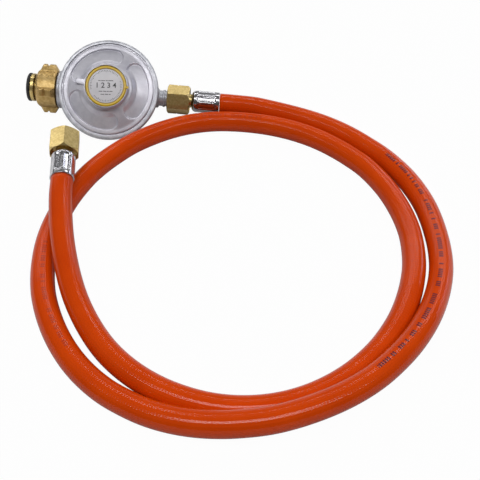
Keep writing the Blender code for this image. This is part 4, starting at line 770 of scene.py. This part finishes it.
def plate_marks(turn):
    """All the printed marks, joined into one piece."""
    made = []
    for tick in range(TICKS):
        angle = math.tau * tick / TICKS
        if 0.30 < (tick / TICKS + 0.25) % 0.5 < 0.36:
            continue
        length = 1.3 if tick % 5 == 0 else 0.9
        reach = TICK_REACH_MM - length / 2
        made.append(ink_bar(
            "tick_%d" % tick, (reach * math.cos(angle), reach * math.sin(angle)),
            (length, TICK_WIDTH_MM), angle))
    for row, spans in BAR_ROWS_MM:
        for start, stop in spans:
            made.append(ink_bar("bar", ((start + stop) / 2, row), (stop - start, BAR_WIDTH_MM)))
    made.append(ink_digits("digits", "1 2 3 4", (0.0, 0.2)))
    deselect()
    for piece in made:
        piece.select_set(True)
    bpy.context.view_layer.objects.active = made[0]
    bpy.ops.object.join()
    marks = name_piece("plate_marks")
    marks.data.transform(Matrix.Rotation(turn, 4, "Z"))
    return marks


place_piece(
    turned("cap_plate", PLATE_OUTLINE_MM, 128), REGULATOR, label_foil, "regulator",
    ["label_plate"])
place_piece(
    plate_marks(math.radians(4.0)), REGULATOR, ink_black, "regulator")

# %% [markdown]
# The hand nut is turned brass.  Its round body carries four ridges that give the fingers a hold,
# and a V groove is turned across their middle.  The whole outline is drawn as one flat shape and
# pulled out to the nut's length.  Then a turned form slopes both ends of the ridges, another cuts
# the bore, and a third cuts the groove.

# %% The hand nut
NUT_ENDS_MM = (-6.4, 6.4)
NUT_BODY_MM, NUT_TIP_MM, NUT_BORE_MM = 12.4, 16.2, 10.2
NUT_RIDGES = 4
RIDGE_TURN = math.radians(-28.0)


def extruded(name, outline_mm, low_mm, high_mm):
    """Prism along Z of a flat outline, drawn point by point and filled."""
    deselect()
    x, y = outline_mm[0]
    bpy.ops.mesh.primitive_plane_add(size=1.0)
    made = name_piece(name)
    bpy.ops.object.mode_set(mode="EDIT")
    bpy.ops.mesh.select_all(action="SELECT")
    bpy.ops.mesh.merge(type="CENTER")
    bpy.ops.transform.translate(value=(x * MM, y * MM, low_mm * MM))
    for (x0, y0), (x1, y1) in zip(outline_mm, outline_mm[1:]):
        bpy.ops.mesh.extrude_vertices_move(
            TRANSFORM_OT_translate={"value": ((x1 - x0) * MM, (y1 - y0) * MM, 0)})
    bpy.ops.mesh.select_all(action="SELECT")
    bpy.ops.mesh.edge_face_add()
    bpy.ops.mesh.extrude_region_move(
        TRANSFORM_OT_translate={"value": (0, 0, (high_mm - low_mm) * MM)})
    bpy.ops.mesh.select_all(action="SELECT")
    bpy.ops.mesh.normals_make_consistent(inside=False)
    bpy.ops.object.mode_set(mode="OBJECT")
    return made


def ridged_outline_mm():
    """Outline of the nut: a round body with four filleted, flat-topped ridges."""
    side = [(11.93, 3.55), (12.25, 3.05), (12.8, 2.74), (15.5, 2.36), (15.95, 2.2), (16.16, 1.9)]
    shape = [(out, -across) for out, across in side] + [(NUT_TIP_MM, 0.0)] + list(reversed(side))
    for step in range(20, 71, 5):
        angle = math.radians(step)
        shape.append((NUT_BODY_MM * math.cos(angle), NUT_BODY_MM * math.sin(angle)))
    outline = []
    for count in range(NUT_RIDGES):
        angle = math.tau * count / NUT_RIDGES
        for out, across in shape:
            outline.append((
                out * math.cos(angle) - across * math.sin(angle),
                out * math.sin(angle) + across * math.cos(angle)))
    return outline


def ridged_nut():
    """The hand nut about Z, its bottle side down."""
    low, high = NUT_ENDS_MM
    nut = extruded("ridged_hand_nut", ridged_outline_mm(), low, high)
    trim = turned("trim_form", [
        (0.0, high + 1), (13.0, high + 1), (13.0, high), (16.7, high - 2.2), (16.7, low + 3.6),
        (12.7, low + 1.5), (11.6, low), (11.6, low - 1), (0.0, low - 1)], 120)
    cut(nut, trim, "INTERSECT")
    bore = turned("bore_form", [
        (0.0, high + 1), (6.3, high + 1), (6.3, high - 3.4), (NUT_BORE_MM, high - 3.4),
        (NUT_BORE_MM, low + 0.6), (NUT_BORE_MM + 0.7, low - 0.1), (NUT_BORE_MM + 0.7, low - 1),
        (0.0, low - 1)], 96)
    cut(nut, bore)
    groove = turned("groove_form", [
        (17.2, 1.89), (17.2, -1.89), (14.86, -0.1), (14.8, 0.0), (14.86, 0.1)], 120)
    cut(nut, groove)
    bevel_edges(nut, 0.25, 25.0)
    return nut


nut_frame = frame_from(nut_place, pipe_axis, (0, 0, 1)) @ ALONG_X
place_piece(
    ridged_nut(), nut_frame @ Matrix.Rotation(RIDGE_TURN, 4, "Z"), blasted_brass, "hand_nut",
    ["hand_nut"], smooth=26.0)

# %% [markdown]
# The nipple goes through the hand nut into the housing.  Its polished head shows inside the nut,
# with the black seal in front of it.  Both are simple turned forms, and their edges are broken.

# %% The nipple and its seal
NIPPLE_OUTLINE_MM = (
    (2.2, -29.6), (5.5, -29.6), (6.0, -30.1), (6.0, -34.9), (7.7, -34.9), (7.7, -35.5),
    (6.0, -35.5), (6.0, -50.8), (8.7, -50.8), (9.1, -51.0), (9.25, -51.4), (9.25, -52.8),
    (9.15, -53.1), (8.95, -53.2), (6.1, -53.2), (6.1, -51.8), (3.2, -51.8), (3.2, -49.7),
    (2.2, -49.7),
)
SEAL_OUTLINE_MM = (
    (4.2, -52.4), (5.8, -52.4), (5.8, -53.5), (8.9, -53.5), (9.25, -53.6), (9.45, -53.95),
    (9.45, -54.8), (9.3, -55.2), (8.9, -55.5), (8.4, -55.6), (4.5, -55.6), (4.2, -55.4),
)
nipple = turned("nipple", NIPPLE_OUTLINE_MM, 96)
nipple.data.transform(ALONG_X)
place_piece(nipple, REGULATOR, brass, "regulator", ["inlet_nipple"])
seal = turned("nose_seal", SEAL_OUTLINE_MM, 96)
seal.data.transform(ALONG_X)
place_piece(
    seal, REGULATOR, rubber, "regulator", ["bottle_seal"], smooth=50.0)

# %% [markdown]
# Each hose end has a brass tail inside a pressed steel ferrule, and a union nut that turns on the
# tail.  The ferrule is a cup that a press squeezed with eight round-ended fingers, so each mark
# is a shallow hollow with soft walls, and narrow ridges are left between the marks.  It is turned
# with a fine grid of faces, and each point then moves in by its distance to the nearest mark.

# %% The ferrules
FERRULE_LENGTH_MM, FERRULE_RADIUS_MM = 18.6, 7.2
MARKS, MARK_LENGTH_MM, MARK_WIDTH_MM, MARK_DEPTH_MM = 8, 14.0, 5.2, 0.6
MARK_EDGE_MM = 1.25
FERRULE_SIDES, FERRULE_RINGS = 208, 72


def mark_drop_mm(angle, height):
    """How deep a point of the ferrule is pressed."""
    pitch = math.tau / MARKS
    across = abs((angle + pitch / 2) % pitch - pitch / 2) * FERRULE_RADIUS_MM
    middle = FERRULE_LENGTH_MM / 2 - 0.6
    beyond = max(abs(height - middle) - (MARK_LENGTH_MM - MARK_WIDTH_MM) / 2, 0.0)
    inside = MARK_WIDTH_MM / 2 - math.hypot(across, beyond)
    share = min(max(inside / MARK_EDGE_MM, 0.0), 1.0)
    return MARK_DEPTH_MM * share * share * (3 - 2 * share)


def ferrule(name, place, node_name):
    """A pressed ferrule, its mouth at the hose."""
    side = [(7.02, 0.0), (7.12, 0.04), (7.19, 0.16), (7.2, 0.4)]
    side += [(7.2, 0.4 + 15.6 * (ring + 1) / FERRULE_RINGS) for ring in range(FERRULE_RINGS)]
    shoulder = [(7.15, 16.45), (7.02, 16.85), (6.8, 17.25), (6.5, 17.65), (6.12, 18.0),
                (5.7, 18.3), (5.3, 18.5), (4.9, 18.6)]
    made = turned(name, [(4.3, 0.0)] + side + shoulder + [(4.3, 18.6)], FERRULE_SIDES)
    for vertex in made.data.vertices:
        x, y, z = vertex.co / MM
        radius = math.hypot(x, y)
        if radius > 7.1 and z > 0.3:
            pressed = (radius - mark_drop_mm(math.atan2(y, x), z)) / radius
            vertex.co.x *= pressed
            vertex.co.y *= pressed
    made.data.transform(ALONG_X)
    return place_piece(
        made, place, bright_steel, "regulator", [node_name], smooth=60.0)


OUTLET_MARK_TURN = Matrix.Rotation(math.radians(4.5), 4, "X")
END_MARK_TURN = Matrix.Rotation(math.radians(-11.0), 4, "X")
outlet_ferrule = ferrule(
    "outlet_ferrule_pressed", OUTLET_FITTING @ OUTLET_MARK_TURN, "outlet_ferrule")
end_ferrule = ferrule("end_ferrule_pressed", END_FITTING @ END_MARK_TURN, "end_ferrule")

# %% [markdown]
# The tail's neck shows between ferrule and nut, and its collar and cone nose show in the open nut
# at the loose end.

# %% The hose tails
TAIL_OUTLINE_MM = (
    (2.0, 32.1), (3.0, 32.1), (3.3, 31.9), (5.2, 28.5), (6.3, 28.5), (6.6, 28.2), (6.6, 26.5),
    (4.6, 26.5), (4.6, 18.9), (4.0, 18.9), (4.0, 0.3), (2.0, 0.3),
)


def hose_tail(name, place, node_name):
    """A turned brass tail with its collar and cone nose."""
    made = turned(name, TAIL_OUTLINE_MM, 72)
    made.data.transform(ALONG_X)
    bevel_edges(made, 0.12)
    return place_piece(made, place, brass, "regulator", [node_name])


outlet_tail = hose_tail("outlet_tail", OUTLET_FITTING, "outlet_hose_tail")
end_tail = hose_tail("end_tail", END_FITTING, "end_hose_tail")

# %% [markdown]
# A union nut is a length of hexagonal bar, chamfered at both ends, bored for the tail, and
# countersunk behind.  A notch cut into its corners marks it by custom as made for a fuel gas.

# %% The union nuts
BAR_LENGTH_MM, BAR_FLAT_MM = 15.2, 8.5
BAR_CORNER_MM = BAR_FLAT_MM / math.cos(math.pi / 6)
OUTLET_NUT_AT_MM, END_NUT_AT_MM = 20.2, 18.9
END_NUT_TURN = math.radians(39.5)


def union_nut(name, place, body, node_name):
    """A union nut along Z, its countersunk end at the ferrule."""
    deselect()
    bpy.ops.mesh.primitive_cylinder_add(
        vertices=6, radius=BAR_CORNER_MM * MM, depth=BAR_LENGTH_MM * MM)
    nut = name_piece(name)
    nut.data.transform(Matrix.Translation((0, 0, BAR_LENGTH_MM / 2 * MM)))
    top = BAR_LENGTH_MM
    cut(nut, turned("chamfer_form", [
        (0.0, top + 1), (8.3, top + 1), (8.3, top), (9.0, top - 0.35), (9.95, top - 0.95),
        (9.95, 1.5), (9.2, 0.7), (8.5, 0.0), (8.5, -1.0), (0.0, -1.0)], 120), "INTERSECT")
    cut(nut, turned("nut_bore_form", [
        (0.0, top + 1), (7.7, top + 1), (7.7, top), (6.9, top - 0.8), (6.9, 6.0), (4.9, 6.0),
        (4.9, 3.3), (6.6, 3.1), (7.7, 2.2), (8.1, 1.2), (8.25, 0.0), (8.25, -1.0),
        (0.0, -1.0)], 96))
    middle = top * 0.55
    cut(nut, turned("notch_form", [
        (11.0, middle + 1.35), (11.0, middle - 1.35), (9.4, middle - 0.1), (9.35, middle),
        (9.4, middle + 0.1)], 120))
    bevel_edges(nut, 0.32, 25.0)
    return place_piece(nut, place @ ALONG_X, brass, body, [node_name], smooth=26.0)


outlet_nut_frame = frame_from(outlet_mouth, -pipe_axis, (0, 0, 1)) @ Matrix.Translation(
    (OUTLET_NUT_AT_MM * MM, 0, 0))
end_nut_frame = END_FITTING @ Matrix.Translation((END_NUT_AT_MM * MM, 0, 0))
union_nut("outlet_union", outlet_nut_frame, "outlet_union_nut", "outlet_union_nut")
end_union = union_nut(
    "end_union", end_nut_frame @ Matrix.Rotation(END_NUT_TURN, 4, "X"), "end_union_nut",
    "end_union_nut")

# %% [markdown]
# The pieces inside stay as they came.  Each gets the finish that such a piece has, because the
# part may be opened, cut or shown apart.

# %% Finishes for the pieces inside
spring_steel = metal("bright spring steel", "B8B9BE", "8C8E94", 1.0, 0.25, 0.40, 0.05, 2.0)
gauze = metal("sintered bronze", "A88A5C", "7C6240", 0.9, 0.55, 0.30, 0.60, 0.8)
INSIDE = {
    "adjusting_screw": acetal, "diaphragm": rubber, "upper_diaphragm_plate": plated_steel,
    "lower_diaphragm_plate": plated_steel, "diaphragm_stem": brass, "main_spring": spring_steel,
    "lever": plated_steel, "lever_pin": plated_steel, "valve_carrier": brass, "valve_pad": rubber,
    "inlet_nozzle": brass, "nipple_gasket": rubber, "inlet_filter": gauze,
    "slip_washer": plated_steel,
}
for node_name, finish in INSIDE.items():
    solid = bpy.data.objects[node_name]
    solid.data.materials.clear()
    solid.data.materials.append(finish)
print("pieces inside:", len(INSIDE))

# %% [markdown]
# The hose leaves at the outlet ferrule and ends at the fitting on its far end.  The length of
# its route is an estimate at the solved scale.

# %% The length of the hose
print("cord declared, length (m):", round(route_length, 4))

# %% [markdown]
# The floor is a plain pale sheet.  The camera, mirrors and glass see it as white, as in a
# catalogue picture.  What a mirror sees has a painted shade close to the object: the white
# glow is darkened by ambient occlusion where the real sheet would lie in its shade, and the
# rest of the mixed shader keeps a trace of the real shadow.

# %% The floor
TABLE_MIDDLE = (0.09, -0.11, 0.0)
FLOOR_SIZE = 40.0
PAPER, WHITE = "C4C4C4", "FFFFFF"
SHADE_REACH, SHADE_POWER, FLOOR_SEEN = 0.10, 4.0, 0.975

deselect()
bpy.ops.mesh.primitive_plane_add(size=FLOOR_SIZE, location=TABLE_MIDDLE)
floor = name_piece("floor")
floor_material = bpy.data.materials.new("matt white paper")
floor_material.use_nodes = True
floor_tree = floor_material.node_tree
floor_tree.nodes.clear()
paper = node(floor_tree, "ShaderNodeBsdfDiffuse", {"Color": linear(PAPER)})
glow = node(floor_tree, "ShaderNodeEmission", {"Color": linear(WHITE), "Strength": 1.0})
near = node(floor_tree, "ShaderNodeAmbientOcclusion", {"Distance": SHADE_REACH}, samples=4)
# Painted shade: ambient occlusion darkens the floor's white glow near the object, as mirrors see
# it.
painted_contact_shade = maths(floor_tree, "POWER", near.outputs["AO"], SHADE_POWER)
seen = maths(floor_tree, "MULTIPLY", seen_share(floor_tree, painted_contact_shade), FLOOR_SEEN)
floor_mix = node(floor_tree, "ShaderNodeMixShader", {
    0: seen, 1: paper.outputs[0], 2: glow.outputs[0]})
node(floor_tree, "ShaderNodeOutputMaterial", {"Surface": floor_mix.outputs[0]})
floor.data.materials.append(floor_material)
print("floor:", floor.name)

# %% [markdown]
# The light is that of a plain studio: two long soft strips hang over the table, one in front and
# one behind, and draw the two thin bright lines that run along the hose.  A bluish window stands
# low on the right and a faint one on the left.  The room itself is dim, a little lighter overhead
# and behind, so metal gets light tops and dark fronts.  The white that camera rays see, and that
# metal mirrors low over the skyline, carries on the white of the floor.

# %% World and lamps
WORLD_DARK, WORLD_ABOVE, WORLD_BEHIND = 0.06, 0.08, 0.08
SKYLINE_WHITE_TO, SKYLINE_GONE_AT = 0.08, 0.20

world = bpy.data.worlds.new("studio room")
bpy.context.scene.world = world
world.use_nodes = True
world_tree = world.node_tree
world_tree.nodes.clear()
heading = node(world_tree, "ShaderNodeTexCoord").outputs["Generated"]
split = node(world_tree, "ShaderNodeSeparateXYZ", {"Vector": heading}).outputs
above = ramp(world_tree, split["Z"], 0.0, 0.85, 0.0, WORLD_ABOVE, "SMOOTHSTEP")
behind = ramp(world_tree, split["Y"], -0.2, 0.9, 0.0, WORLD_BEHIND, "SMOOTHSTEP")
skyline = ramp(
    world_tree, split["Z"], SKYLINE_WHITE_TO, SKYLINE_GONE_AT, 1.0, 0.0, "SMOOTHSTEP")
room_light = maths(world_tree, "ADD", maths(world_tree, "ADD", above, behind), WORLD_DARK)
level = maths(world_tree, "MAXIMUM", room_light, seen_share(world_tree, skyline))
room = node(world_tree, "ShaderNodeBackground", {"Color": linear(WHITE), "Strength": level})
node(world_tree, "ShaderNodeOutputWorld", {"Surface": room.outputs[0]})


def softbox(name, place, width, depth, power, hex_colour=WHITE):
    """A rectangular lamp that faces the middle of the table."""
    data = bpy.data.lights.new(name, "AREA")
    data.shape = "RECTANGLE"
    data.size, data.size_y = width, depth
    data.energy = power
    data.color = linear(hex_colour)[:3]
    lamp = bpy.data.objects.new(name, data)
    bpy.context.collection.objects.link(lamp)
    lamp.location = place
    toward = Vector(TABLE_MIDDLE) - Vector(place)
    lamp.rotation_euler = toward.to_track_quat("-Z", "Y").to_euler()


softbox("back_strip", (0.09, 1.35, 1.45), 3.4, 0.17, 15.0)
softbox("front_strip", (0.09, -0.55, 1.50), 2.4, 0.12, 17.0)
softbox("right_window", (0.76, 0.47, 0.18), 0.7, 0.06, 0.9, "D8E2FF")
softbox("left_window", (-0.48, 0.47, 0.40), 0.5, 0.10, 0.28)
bpy.context.scene.view_settings.view_transform = "Standard"
print("lamps:", len(bpy.data.lights))
